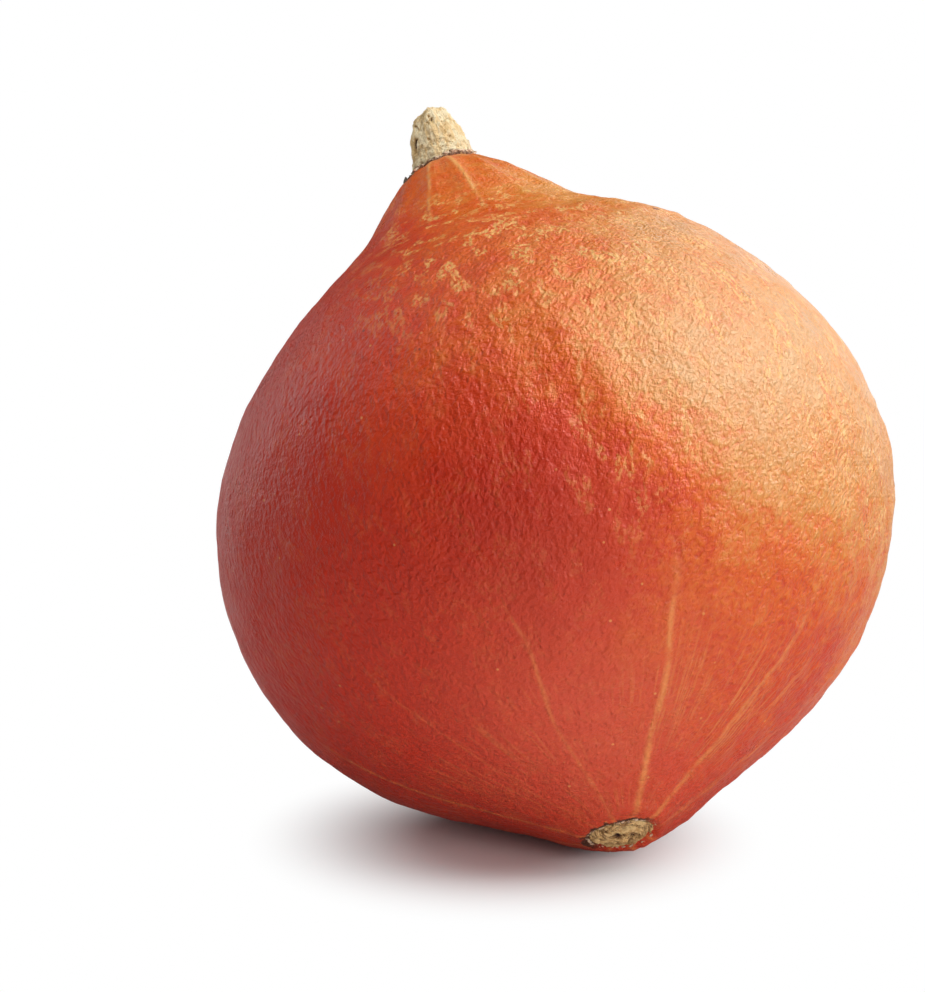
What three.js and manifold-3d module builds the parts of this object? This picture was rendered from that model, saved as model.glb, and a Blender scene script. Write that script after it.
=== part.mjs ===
// A red kuri squash: a teardrop winter squash with a thin waxy rind and a dry, corky stem stub.
// Millimetres, +Z up. It lies as it was set down, on the flat ground spot of its underside, with the
// stem up and back and the blossom scar down and to the front. The origin is on the surface that it
// rests on, under the middle of its box.
import * as THREE from "three";
import { mergeVertices } from "three/addons/utils/BufferGeometryUtils.js";
import Module from "manifold-3d";

const DEG = Math.PI / 180;

// The rind. Its distance from the heart of the fruit depends on two angles: "polar" runs from the stem
// (0) to the blossom scar (180), and "turn" runs round the stem axis, with 0 at the front and 90 at the
// flank that grew fuller in the sun.
const BODY_TERMS = [78.1, -5.3, -2.9, 1.2, 1.1]; // mean radius, then terms in cos 1, 2, 3, 4 polar
const SUNNY_TERMS = [3.4, -1.9, -1.1, -0.5]; // how far the sunny flank stands out, in the same terms
const NECK = { height: 25.9, width: 20.3 };
const BLOSSOM_END = { height: 6.5, width: 15.1 };
const SWELLINGS = [
  { name: "lip under the blossom scar", polar: 168, turn: 169, height: 4.1, width: 13 },
  { name: "shaded underside", polar: 139, turn: -101, height: 2, width: 25.6 },
  { name: "sunny shoulder", polar: 41, turn: 71, height: 4.9, width: 20 },
  { name: "hollow beside the stem", polar: 15, turn: -69, height: -4.6, width: 12 },
];
const GROUND_SPOT = { height: -2.4, width: 26 }; // the flattening where the fruit lay as it grew
const GROUND_FLAT_DEPTH = 0.9; // how much of the ground spot's curve is pressed quite flat
const SCAR = { radius: 8.2, depth: 1.4, edge: 1.6 }; // the dished scar left by the blossom

// How the fruit lies: its stem axis rises from the floor and heads a little left of straight back, and
// the fruit is turned a little round that axis.
const AXIS_RISE = 50.2 * DEG;
const AXIS_HEADING = 21.4 * DEG;
const AXIS_TURN = -23.2 * DEG;

// The stem stub stands on a flat seat where it slices the top of the neck.
const SEAT_DEPTH = 2.2; // below the top of the neck
const SEAT_LEAN = 9 * DEG; // the seat faces a little to the hollow side of the neck
const SEAT_LEAN_TURN = -64 * DEG;
const JOINT_GAP = 0.3;
const STEM_HEIGHT = 17.6;
const STEM_FOOT_SHIFT = 0.9; // the stub stands a little to the sunny side of the neck's top
const STEM_SIDE_DRIFT = 0.14; // and leans further that way as it rises
const STEM_RIDGES = { count: 5, height: 0.8 }; // they fade in from the round foot
const STEM_PROFILE = [
  // radius and share of the height, from the foot to the blunt top
  [8.7, 0],
  [8.5, 0.16],
  [7.7, 0.34],
  [7.1, 0.54],
  [6.1, 0.72],
  [4.7, 0.86],
  [2.6, 0.96],
];

const RIND_AROUND = 60;
const RIND_ALONG = 50;
const RIND_POLE_CROWDING = 0.3; // 0 spaces the rings evenly; 0.5 would crowd them all at the ends
const STEM_AROUND = 30;
const CUTTER_AROUND = 24;

const wasm = await Module();
wasm.setup();

// The direction in the fruit's own frame: +Y to the stem, +Z to the front, +X to the sunny flank.
function direction(polar, turn) {
  return new THREE.Vector3(
    Math.sin(polar) * Math.sin(turn),
    Math.cos(polar),
    Math.sin(polar) * Math.cos(turn),
  );
}

const pose = new THREE.Matrix4().makeRotationFromEuler(
  new THREE.Euler(AXIS_RISE, AXIS_TURN, AXIS_HEADING, "ZXY"),
);

// Where the floor is, seen from the heart of the fruit.
const downward = new THREE.Vector3(0, 0, -1).transformDirection(pose.clone().transpose());

const localBumps = SWELLINGS.map((swelling) => ({
  centre: direction(swelling.polar * DEG, swelling.turn * DEG),
  height: swelling.height,
  width: swelling.width * DEG,
}));
localBumps.push({
  centre: downward,
  height: GROUND_SPOT.height,
  width: GROUND_SPOT.width * DEG,
});

// A smooth bell round a direction, 1 in its middle, that falls off over the angle "width".
function bell(cosine, width) {
  return Math.exp((2 / width ** 2) * (cosine - 1));
}

// terms[0] + terms[1] cos(angle) + terms[2] cos(2 angle) + ...
function cosineSeries(terms, angle) {
  return terms.reduce((sum, term, order) => sum + term * Math.cos(order * angle), 0);
}

// The rind's distance from the heart of the fruit.
function rindRadius(polar, turn) {
  const fromScar = Math.PI - polar;
  const body = cosineSeries(BODY_TERMS, polar);
  const neck = NECK.height * Math.exp(-((polar / (NECK.width * DEG)) ** 2));
  const blossomEnd =
    BLOSSOM_END.height * Math.exp(-((fromScar / (BLOSSOM_END.width * DEG)) ** 2));
  const sunny = cosineSeries(SUNNY_TERMS, polar) * Math.sin(polar) * Math.sin(turn);
  const here = direction(polar, turn);
  const bumps = localBumps.reduce(
    (sum, bump) => sum + bump.height * bell(here.dot(bump.centre), bump.width),
    0,
  );
  const smooth = body + neck + blossomEnd + sunny + bumps;
  const inScar = 1 - THREE.MathUtils.smoothstep(
    fromScar * smooth,
    SCAR.radius - SCAR.edge,
    SCAR.radius + SCAR.edge / 2,
  );
  return smooth - SCAR.depth * inScar;
}

// A closed solid from a geometry, with only its positions kept so that shared points can merge.
function solidOf(geometry) {
  const bare = new THREE.BufferGeometry();
  bare.setAttribute("position", geometry.getAttribute("position"));
  bare.setIndex(geometry.getIndex());
  const merged = mergeVertices(bare, 1e-4);
  return new wasm.Manifold(
    new wasm.Mesh({
      numProp: 3,
      vertProperties: merged.getAttribute("position").array,
      triVerts: new Uint32Array(merged.getIndex().array),
    }),
  );
}

function geometryOf(solid) {
  const mesh = solid.getMesh();
  const geometry = new THREE.BufferGeometry();
  geometry.setAttribute("position", new THREE.BufferAttribute(mesh.vertProperties, 3));
  geometry.setIndex(new THREE.BufferAttribute(mesh.triVerts, 1));
  geometry.computeVertexNormals();
  return geometry;
}

// Calls change(point) on every point of a geometry and keeps what it leaves there.
function movePoints(geometry, change) {
  const positions = geometry.getAttribute("position");
  const point = new THREE.Vector3();
  for (let i = 0; i < positions.count; i += 1) {
    point.fromBufferAttribute(positions, i);
    change(point);
    positions.setXYZ(i, point.x, point.y, point.z);
  }
  return geometry;
}

// The rind in the fruit's own frame: a sphere whose rings crowd at both ends, blown out to its radius.
function rindGeometry() {
  return movePoints(new THREE.SphereGeometry(1, RIND_AROUND, RIND_ALONG), (point) => {
    const even = Math.acos(THREE.MathUtils.clamp(point.y, -1, 1));
    const polar = even - RIND_POLE_CROWDING * Math.sin(2 * even);
    const turn = Math.atan2(point.x, point.z);
    point.copy(direction(polar, turn)).multiplyScalar(rindRadius(polar, turn));
  });
}

const seatNormal = direction(SEAT_LEAN, SEAT_LEAN_TURN);
const seatCentre = new THREE.Vector3(0, rindRadius(0, 0), 0).addScaledVector(
  seatNormal,
  -SEAT_DEPTH,
);
const seatTurn = new THREE.Quaternion().setFromUnitVectors(
  new THREE.Vector3(0, 1, 0),
  seatNormal,
);

// A disc thick and wide enough to slice the top off the neck, with its lower face on the seat.
function seatCutter() {
  const [footRadius] = STEM_PROFILE[0];
  const thickness = 2 * SEAT_DEPTH;
  return new THREE.CylinderGeometry(2 * footRadius, 2 * footRadius, thickness, CUTTER_AROUND)
    .translate(0, thickness / 2, 0)
    .applyQuaternion(seatTurn)
    .translate(...seatCentre);
}

// The stem stub: a lathed, blunt cone with shallow ridges that leans as it rises.
function stemGeometry() {
  const outline = STEM_PROFILE.map(
    ([radius, share]) => new THREE.Vector2(radius, share * STEM_HEIGHT),
  );
  const profile = [new THREE.Vector2(0, 0), ...outline, new THREE.Vector2(0, STEM_HEIGHT)];
  const stub = new THREE.LatheGeometry(profile, STEM_AROUND);
  const [footRadius] = STEM_PROFILE[0];
  movePoints(stub, (point) => {
    const turn = Math.atan2(point.x, point.z);
    const risen = point.y / STEM_HEIGHT;
    const ridge = (STEM_RIDGES.height * risen * Math.cos(STEM_RIDGES.count * turn)) / footRadius;
    point.x *= 1 + ridge;
    point.z *= 1 + ridge;
    point.x += STEM_FOOT_SHIFT + STEM_SIDE_DRIFT * point.y;
  });
  return stub
    .applyQuaternion(seatTurn)
    .translate(...seatCentre.clone().addScaledVector(seatNormal, JOINT_GAP));
}

// Everything on the far side of the floor plane, as a box much larger than the fruit.
function belowFloor(floorHeight) {
  const [meanRadius] = BODY_TERMS;
  const side = 4 * meanRadius;
  return new THREE.BoxGeometry(side, side, side).translate(0, 0, floorHeight - side / 2);
}

const rind = rindGeometry().applyMatrix4(pose);
rind.computeBoundingBox();
const floorHeight = rind.boundingBox.min.z + GROUND_FLAT_DEPTH;
const fruitSolid = solidOf(rind)
  .subtract(solidOf(seatCutter().applyMatrix4(pose)))
  .subtract(solidOf(belowFloor(floorHeight)));
const fruitGeometry = geometryOf(fruitSolid);
const stubGeometry = geometryOf(solidOf(stemGeometry().applyMatrix4(pose)));

const fruit = new THREE.Mesh(
  fruitGeometry,
  new THREE.MeshStandardMaterial({ color: 0xc24a22, roughness: 0.42, metalness: 0 }),
);
fruit.name = "fruit";

const stem = new THREE.Mesh(
  stubGeometry,
  new THREE.MeshStandardMaterial({ color: 0xcdb083, roughness: 0.9, metalness: 0 }),
);
stem.name = "stem";

const squash = new THREE.Group();
squash.name = "red_kuri_squash";
squash.add(fruit, stem);

// Stand the squash on the floor, with the origin under the middle of its box.
const box = new THREE.Box3().setFromObject(squash);
const middle = box.getCenter(new THREE.Vector3());
for (const geometry of [fruitGeometry, stubGeometry]) {
  geometry.translate(-middle.x, -middle.y, -floorHeight);
}

export default squash;
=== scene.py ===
"""A red kuri squash on a pale floor, lying on the flat spot where it lay as it grew.

Everything is in metres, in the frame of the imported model. The fruit's own frame has its origin in the
heart of the fruit, +Y to the stem, +Z to the front and +X to the flank that grew fuller in the sun, and
its sizes are in millimetres.
"""

import logging
import math
from dataclasses import dataclass, fields, is_dataclass, replace
from enum import Enum
from typing import Any, Sequence, Union

import bpy
import numpy as np
from mathutils import Euler, Matrix, Vector


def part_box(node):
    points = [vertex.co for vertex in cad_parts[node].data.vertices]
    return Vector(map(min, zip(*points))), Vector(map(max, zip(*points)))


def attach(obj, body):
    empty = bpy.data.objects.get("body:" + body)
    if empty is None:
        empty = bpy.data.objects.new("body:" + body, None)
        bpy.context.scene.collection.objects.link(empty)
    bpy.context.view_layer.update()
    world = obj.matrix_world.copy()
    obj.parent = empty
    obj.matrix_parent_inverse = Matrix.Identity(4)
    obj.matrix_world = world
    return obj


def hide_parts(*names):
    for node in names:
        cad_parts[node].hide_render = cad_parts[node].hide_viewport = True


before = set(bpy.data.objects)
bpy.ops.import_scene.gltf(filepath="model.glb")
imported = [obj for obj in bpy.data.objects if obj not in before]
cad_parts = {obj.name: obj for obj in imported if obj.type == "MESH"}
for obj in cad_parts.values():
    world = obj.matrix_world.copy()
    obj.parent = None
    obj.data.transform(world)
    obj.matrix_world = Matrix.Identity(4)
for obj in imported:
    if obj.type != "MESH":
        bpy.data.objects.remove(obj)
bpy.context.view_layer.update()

log = logging.getLogger("red_kuri_squash")

MM = 0.001
JOINT_GAP = 0.3  # between the rind and the stem, in millimetres
DEG = math.pi / 180
JOIN_WITHIN = 0.0005 * MM  # points of a sheet's edges this near to each other are one point
MAP_NAME = "OFBake"  # the name of the rind's own map
# cork is darkened by this depth: partly its own darker tissue, partly painted shade
HOLLOW = "hollow"  # the name under which a piece of cork keeps how deep in a hollow it is

Colour = tuple[float, float, float]
Number = Union[float, np.ndarray, "Field"]


# ---------------------------------------------------------------------------------------------------
# Node trees, built by plain arithmetic


class Field:
    """A number that varies over a surface: the output of a node, with plain arithmetic."""

    def __init__(self, tree: "Tree", socket: bpy.types.NodeSocket) -> None:
        """Keeps the output socket and the tree that it belongs to."""
        self.tree = tree
        self.socket = socket

    def __add__(self, other: Number) -> "Field":
        """This field plus another."""
        return self.tree.math("ADD", self, other)

    __radd__ = __add__

    def __sub__(self, other: Number) -> "Field":
        """This field less another."""
        return self.tree.math("SUBTRACT", self, other)

    def __rsub__(self, other: Number) -> "Field":
        """Another number less this field."""
        return self.tree.math("SUBTRACT", other, self)

    def __mul__(self, other: Number) -> "Field":
        """This field times another."""
        return self.tree.math("MULTIPLY", self, other)

    __rmul__ = __mul__

    def __truediv__(self, other: Number) -> "Field":
        """This field over another."""
        return self.tree.math("DIVIDE", self, other)

    def __rtruediv__(self, other: Number) -> "Field":
        """Another number over this field."""
        return self.tree.math("DIVIDE", other, self)

    def __neg__(self) -> "Field":
        """This field with its sign turned round."""
        return self.tree.math("MULTIPLY", self, -1.0)

    def at_least(self, low: Number) -> "Field":
        """The larger of this field and another."""
        return self.tree.math("MAXIMUM", self, low)

    def at_most(self, high: Number) -> "Field":
        """The smaller of this field and another."""
        return self.tree.math("MINIMUM", self, high)

    def magnitude(self) -> "Field":
        """This field without its sign."""
        return self.tree.math("ABSOLUTE", self)

    def clamped(self) -> "Field":
        """This field kept between 0 and 1."""
        return self.at_least(0.0).at_most(1.0)


class Spread:
    """A vector that varies over a surface: the output of a node, with plain arithmetic."""

    def __init__(self, tree: "Tree", socket: bpy.types.NodeSocket) -> None:
        """Keeps the output socket and the tree that it belongs to."""
        self.tree = tree
        self.socket = socket

    def __add__(self, other: "VectorLike") -> "Spread":
        """This vector plus another."""
        return self.tree.vector_math("ADD", self, other)

    def __sub__(self, other: "VectorLike") -> "Spread":
        """This vector less another."""
        return self.tree.vector_math("SUBTRACT", self, other)

    def __mul__(self, other: "VectorLike") -> "Spread":
        """This vector times another, part by part."""
        return self.tree.vector_math("MULTIPLY", self, other)

    def scaled(self, factor: Number) -> "Spread":
        """This vector times one number."""
        node = self.tree.node("ShaderNodeVectorMath", self, operation="SCALE")
        self.tree.feed(factor, node.inputs["Scale"])
        return Spread(self.tree, node.outputs[0])

    def unit(self) -> "Spread":
        """This vector at a length of 1."""
        return self.tree.vector_math("NORMALIZE", self)

    def length(self) -> Field:
        """How long this vector is."""
        return self.tree.vector_measure("LENGTH", self)

    def dot(self, other: "VectorLike") -> Field:
        """The dot product with another vector."""
        return self.tree.vector_measure("DOT_PRODUCT", self, other)

    def turned(self, rotation: "VectorLike") -> "Spread":
        """This vector turned about the origin by XYZ angles in radians."""
        node = self.tree.node("ShaderNodeVectorRotate", rotation_type="EULER_XYZ")
        self.tree.feed(self, node.inputs["Vector"])
        self.tree.feed(rotation, node.inputs["Rotation"])
        return Spread(self.tree, node.outputs[0])

    def parts(self) -> tuple[Field, Field, Field]:
        """The vector's x, y and z."""
        node = self.tree.node("ShaderNodeSeparateXYZ", self)
        x, y, z = (Field(self.tree, output) for output in node.outputs)
        return x, y, z


VectorLike = Union[Spread, Sequence[float], Vector]


class Tree:
    """A node tree with a plain call for each kind of node that the finishes and shapes use."""

    def __init__(self, tree: bpy.types.NodeTree) -> None:
        """Starts from an empty tree.

        Args:
            tree: The tree to fill. Its nodes are removed first.
        """
        self.tree = tree
        tree.nodes.clear()

    def node(self, kind: str, *values: Any, **settings: Any) -> bpy.types.Node:
        """Adds a node.

        Args:
            kind: The node's type.
            values: Its first inputs, in order.
            settings: Its properties, such as operation.

        Returns:
            The new node.
        """
        made = self.tree.nodes.new(kind)
        for name, setting in settings.items():
            setattr(made, name, setting)
        for value, socket in zip(values, made.inputs):
            self.feed(value, socket)
        return made

    def feed(self, value: Any, socket: bpy.types.NodeSocket) -> None:
        """Links a field to an input, or sets the input to a plain value.

        Args:
            value: A field, a vector, a colour or a number.
            socket: The input.
        """
        if isinstance(value, (Field, Spread)):
            self.tree.links.new(value.socket, socket)
        elif isinstance(value, bpy.types.NodeSocket):
            self.tree.links.new(value, socket)
        elif socket.type == "RGBA":
            socket.default_value = (*value, 1.0)
        else:
            socket.default_value = value

    def math(self, operation: str, *values: Number) -> Field:
        """The result of an operation on numbers."""
        return Field(self, self.node("ShaderNodeMath", *values, operation=operation).outputs[0])

    def vector_math(self, operation: str, *values: VectorLike) -> Spread:
        """The result of an operation on vectors that gives a vector."""
        return Spread(self, self.node("ShaderNodeVectorMath", *values, operation=operation).outputs[0])

    def vector_measure(self, operation: str, *values: VectorLike) -> Field:
        """The result of an operation on vectors that gives a number."""
        return Field(self, self.node("ShaderNodeVectorMath", *values, operation=operation).outputs["Value"])

    def vector(self, x: Number, y: Number, z: Number) -> Spread:
        """A vector from its three parts."""
        return Spread(self, self.node("ShaderNodeCombineXYZ", x, y, z).outputs[0])

    def between(self, value: Number, low: Number, high: Number) -> Field:
        """A soft step from 0 at low to 1 at high."""
        made = self.node("ShaderNodeMapRange", value, low, high, 0.0, 1.0, interpolation_type="SMOOTHSTEP")
        return Field(self, made.outputs[0])

    def noise(self, place: VectorLike, size: Number, detail: float = 2.0,
              roughness: float = 0.5, distortion: float = 0.0, seed: float = 0.0) -> Field:
        """Smooth noise about 0, mostly within -1 to 1.

        Args:
            place: Where on the piece, in millimetres.
            size: The size of its lumps, in the same unit.
            detail: How many finer octaves it has.
            roughness: How strong those are.
            distortion: How much it is swirled.
            seed: Which of the many like patterns this is.

        Returns:
            The noise.
        """
        made = self.node("ShaderNodeTexNoise", normalize=False)
        shift = (17.3 * seed, -23.1 * seed, 31.7 * seed)
        self.feed(self.vector_math("ADD", place, shift), made.inputs["Vector"])
        self.feed(1.0 / size, made.inputs["Scale"])
        self.feed(detail, made.inputs["Detail"])
        self.feed(roughness, made.inputs["Roughness"])
        self.feed(distortion, made.inputs["Distortion"])
        return Field(self, made.outputs[0])

    def ray(self, kind: str) -> Field:
        """1 for one kind of ray and 0 for the others."""
        return Field(self, self.node("ShaderNodeLightPath").outputs[f"Is {kind} Ray"])

    def looked_at(self) -> Field:
        """1 for rays that show what is at their end, mirrored or not, and 0 for those that light."""
        mirrored = self.ray("Glossy") * self.ray("Singular")
        return self.ray("Camera").at_least(mirrored).at_least(self.ray("Transmission"))

    def looked_up(self, order: Field, values: Sequence[float]) -> Field:
        """The value of a short list that a whole number picks.

        Args:
            order: The number, from 0.
            values: The list, whose values lie between 0 and 1.

        Returns:
            The picked value.
        """
        made = self.node("ShaderNodeValToRGB")
        ramp = made.color_ramp
        ramp.interpolation = "CONSTANT"
        for step, value in enumerate(values):
            share = step / len(values)
            stop = ramp.elements[0] if step == 0 else ramp.elements.new(share)
            stop.position = share
            stop.color = (value, value, value, 1.0)
        ramp.elements.remove(ramp.elements[len(values)])
        self.feed((order + 0.5) / float(len(values)), made.inputs[0])
        return Field(self, made.outputs[0])


class GeometryTree(Tree):
    """A Geometry Nodes tree with named inputs, kept with the values that its modifier is given."""

    def __init__(self, name: str) -> None:
        """Starts a tree with one output for its geometry.

        Args:
            name: The tree's name.
        """
        super().__init__(bpy.data.node_groups.new(name, "GeometryNodeTree"))
        self.tree.interface.new_socket("Geometry", in_out="OUTPUT", socket_type="NodeSocketGeometry")
        self.inputs = self.node("NodeGroupInput")
        self.values: dict[str, Any] = {}

    def number(self, label: str, value: float) -> Field:
        """Adds a named input for a size or an angle."""
        return Field(self, self._input(label, value, "NodeSocketFloat"))

    def count(self, label: str, value: int) -> Field:
        """Adds a named input for a whole number."""
        return Field(self, self._input(label, value, "NodeSocketInt"))

    def triple(self, label: str, value: Sequence[float]) -> Spread:
        """Adds a named input for a place, a direction or a rotation."""
        return Spread(self, self._input(label, tuple(value), "NodeSocketVector"))

    def _input(self, label: str, value: Any, kind: str) -> bpy.types.NodeSocket:
        """Adds an input of any kind and notes the value that its modifier is given.

        Args:
            label: The input's name.
            value: Its value.
            kind: The socket's type.

        Returns:
            The input's socket inside the tree.
        """
        made = self.tree.interface.new_socket(label, in_out="INPUT", socket_type=kind)
        self.values[made.identifier] = value
        return next(s for s in self.inputs.outputs if s.identifier == made.identifier)

    def position(self) -> Spread:
        """Each point's place."""
        return Spread(self, self.node("GeometryNodeInputPosition").outputs[0])

    def ring(self, turn: Field, radius: Number, rise: Number = 0.0) -> Spread:
        """The place at a turn round the +Y axis, at a radius from it and a rise along it."""
        return self.vector(radius * sine(turn), rise, radius * cosine(turn))

    def through(self, kind: str, geometry: bpy.types.NodeSocket, inputs: dict[Any, Any],
                **settings: Any) -> bpy.types.NodeSocket:
        """Passes the geometry through a node.

        Args:
            kind: The node's type.
            geometry: The geometry so far.
            inputs: The node's other inputs, by name or number.
            settings: Its properties.

        Returns:
            The geometry after the node.
        """
        made = self.node(kind, geometry, **settings)
        for name, value in inputs.items():
            self.feed(value, made.inputs[name])
        return made.outputs[0]

    def lathe(self, around: int, along: int) -> tuple[bpy.types.NodeSocket, Field, Field]:
        """A sheet of points that is to be wrapped round an axis.

        Args:
            around: How many points it has round the axis.
            along: How many it has from one end to the other.

        Returns:
            The sheet, each point's turn round the axis in radians, and its share of the way along.
        """
        grid = self.node("GeometryNodeMeshGrid")
        self.feed(self.count("points along", along), grid.inputs["Vertices X"])
        self.feed(self.count("points around", around + 1), grid.inputs["Vertices Y"])
        share, round_axis, _ = self.position().parts()
        turn = round_axis * (-2.0 * math.pi)
        return grid.outputs[0], turn, share + 0.5

    def moved(self, geometry: bpy.types.NodeSocket, place: Spread) -> bpy.types.NodeSocket:
        """Moves each point to its place."""
        return self.through("GeometryNodeSetPosition", geometry, {"Position": place})

    def keep(self, geometry: bpy.types.NodeSocket, name: str, value: Field | Spread,
             data_type: str = "FLOAT", domain: str = "POINT") -> bpy.types.NodeSocket:
        """Keeps a value on the mesh under a name, for a finish to read.

        Args:
            geometry: The mesh so far.
            name: The name.
            value: The value.
            data_type: Its kind.
            domain: Whether each point or each corner has its own.

        Returns:
            The mesh with the value.
        """
        made = self.node("GeometryNodeStoreNamedAttribute", data_type=data_type, domain=domain)
        for label, given in (("Geometry", geometry), ("Name", name), ("Value", value)):
            self.feed(given, made.inputs[label])
        return made.outputs[0]

    def wrapped(self, sheet: bpy.types.NodeSocket, hollow: Field, place: Spread,
                material: bpy.types.Material, name: str) -> bpy.types.Object:
        """Closes a sheet into a piece by joining the points that meet.

        Args:
            sheet: The sheet.
            hollow: How deep in a hollow each point is, for the finish.
            place: Each point's place in the model.
            material: The finish.
            name: The piece's name.

        Returns:
            The finished piece.
        """
        moved = self.moved(self.keep(sheet, HOLLOW, hollow), place)
        self.finish(self.through("GeometryNodeMergeByDistance", moved, {"Distance": JOIN_WITHIN}), material)
        return self.build(name)

    def chance(self, low: float, high: float, seed: int) -> Field:
        """A number by chance for each point or copy, with a fixed seed."""
        made = self.node("FunctionNodeRandomValue", data_type="FLOAT")
        for label, value in (("Min", low), ("Max", high)):
            socket = [entry for entry in made.inputs if entry.name == label and entry.type == "VALUE"][0]
            socket.default_value = value
        made.inputs["Seed"].default_value = seed
        return Field(self, [entry for entry in made.outputs if entry.type == "VALUE"][0])

    def profile(self, share: Field, points: Sequence[tuple[float, float]]) -> Field:
        """A smooth outline through a few points, both of whose numbers run from 0 to 1."""
        made = self.node("ShaderNodeFloatCurve")
        curve = made.mapping.curves[0]
        for order, (along, value) in enumerate(points):
            if order < 2:
                curve.points[order].location = (along, value)
            else:
                curve.points.new(along, value)
        made.mapping.update()
        self.feed(share, made.inputs["Value"])
        return Field(self, made.outputs[0])

    def finish(self, geometry: bpy.types.NodeSocket, material: bpy.types.Material) -> None:
        """Ends the tree in smooth shading, Realize Instances and Set Material.

        Args:
            geometry: The geometry so far.
            material: Its finish.
        """
        smooth = self.through("GeometryNodeSetShadeSmooth", geometry, {})
        real = self.through("GeometryNodeRealizeInstances", smooth, {})
        dressed = self.through("GeometryNodeSetMaterial", real, {"Material": material})
        self.feed(dressed, self.node("NodeGroupOutput").inputs[0])

    def build(self, name: str) -> bpy.types.Object:
        """Runs the tree on an empty mesh and keeps the plain result.

        Args:
            name: The piece's name.

        Returns:
            The piece, at the origin, with no modifier on it.
        """
        source = bpy.data.objects.new(name + "_source", bpy.data.meshes.new(name + "_source"))
        bpy.context.scene.collection.objects.link(source)
        modifier = source.modifiers.new("shape", "NODES")
        modifier.node_group = self.tree
        for identifier, value in self.values.items():
            modifier[identifier] = value
        source.update_tag()
        depsgraph = bpy.context.evaluated_depsgraph_get()
        mesh = bpy.data.meshes.new_from_object(source.evaluated_get(depsgraph))
        mesh.name = name
        bpy.data.objects.remove(source)
        piece = bpy.data.objects.new(name, mesh)
        bpy.context.scene.collection.objects.link(piece)
        return piece


def exposed(tree: GeometryTree, sizes: Any, label: str) -> Any:
    """Makes every number of a dataclass a named input of a tree.

    Args:
        tree: The tree.
        sizes: A dataclass, a sequence or a number.
        label: The name so far.

    Returns:
        The same dataclass or sequence with fields in place of its numbers.
    """
    if is_dataclass(sizes):
        made = {
            part.name: exposed(tree, getattr(sizes, part.name), f"{label} {part.name}".replace("_", " "))
            for part in fields(sizes)
        }
        return replace(sizes, **made)
    if isinstance(sizes, (tuple, list)):
        return tuple(exposed(tree, value, f"{label} {order}") for order, value in enumerate(sizes))
    return tree.number(label.strip(), sizes)


def sine(angle: Number) -> Number:
    """The sine of a number, an array or a field, in radians."""
    return angle.tree.math("SINE", angle) if isinstance(angle, Field) else np.sin(angle)


def cosine(angle: Number) -> Number:
    """The cosine of a number, an array or a field, in radians."""
    return angle.tree.math("COSINE", angle) if isinstance(angle, Field) else np.cos(angle)


def exponential(value: Number) -> Number:
    """The exponential of a number, an array or a field."""
    return value.tree.math("EXPONENT", value) if isinstance(value, Field) else np.exp(value)


def root(value: Number) -> Number:
    """The square root of a number, an array or a field."""
    return value.tree.math("SQRT", value) if isinstance(value, Field) else np.sqrt(value)


def bell(aside: Number) -> Number:
    """1 at 0, running out smoothly to both sides, with 0.37 at 1."""
    return exponential(aside * aside * -1.0)


def soft_step(value: Number, low: Number, high: Number) -> Number:
    """A soft step from 0 at low to 1 at high, for a number, an array or a field."""
    if isinstance(value, Field):
        return value.tree.between(value, low, high)
    share = np.clip((value - low) / (high - low), 0.0, 1.0)
    return share * share * (3.0 - 2.0 * share)


def cosine_series(terms: Sequence[Number], angle: Number) -> Number:
    """terms[0] + terms[1] cos(angle) + terms[2] cos(2 angle) + ...

    Args:
        terms: The weight of each term.
        angle: The angle in radians.

    Returns:
        The sum.
    """
    total = terms[0]
    for order, term in enumerate(terms[1:], start=1):
        total = term * cosine(angle * float(order)) + total
    return total


# ---------------------------------------------------------------------------------------------------
# The shape of the fruit


@dataclass
class Toward:
    """A direction from the heart of the fruit, as two angles in radians and as three parts."""

    polar: Number
    turn: Number
    x: Number
    y: Number
    z: Number

    @classmethod
    def of(cls, polar: Number, turn: Number) -> "Toward":
        """The direction with these angles."""
        x = sine(polar) * sine(turn)
        z = sine(polar) * cosine(turn)
        return cls(polar, turn, x, cosine(polar), z)

    def cosine_to(self, other: "Toward") -> Number:
        """The cosine of the angle to another direction."""
        return self.x * other.x + self.y * other.y + self.z * other.z

    def spread(self, tree: Tree) -> Spread:
        """The direction as one vector of a tree."""
        return tree.vector(self.x, self.y, self.z)


@dataclass(frozen=True)
class Cap:
    """A round rise, or with a negative height a hollow, about an end of the fruit: millimetres, degrees."""

    height: Number
    width: Number


@dataclass(frozen=True)
class Swelling:
    """A soft swelling, or with a negative height a hollow, on one side: degrees and millimetres.

    A finish uses it too, for a patch of its colour. Its height is then the patch's share.
    """

    polar: Number
    turn: Number
    height: Number
    width: Number

    def at(self, here: Toward) -> Number:
        """How far the swelling lifts the rind in a direction."""
        centre = Toward.of(self.polar * DEG, self.turn * DEG)
        spread = self.width * DEG
        return exponential((here.cosine_to(centre) - 1.0) * 2.0 / (spread * spread)) * self.height


@dataclass(frozen=True)
class ScarDish:
    """The shallow dish left by the blossom, in millimetres."""

    radius: Number = 8.2
    depth: Number = 1.4
    edge: Number = 1.6
    flattening: Number = 0.8  # how much narrower it is from front to back
    ahead: Number = -1.1  # how far its middle lies to the front of the fruit's axis

    def away(self, here: Toward, reach: Number) -> Number:
        """How far a place is from the dish's middle, as if the dish were round.

        Args:
            here: The place's direction.
            reach: The place's distance from the heart, in millimetres.

        Returns:
            The distance in millimetres.
        """
        aside = here.x * reach
        ahead = (here.z * reach - self.ahead) / self.flattening
        behind = soft_step(here.y, 0.0, 0.1) * reach
        return root(aside * aside + ahead * ahead) + behind


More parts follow.
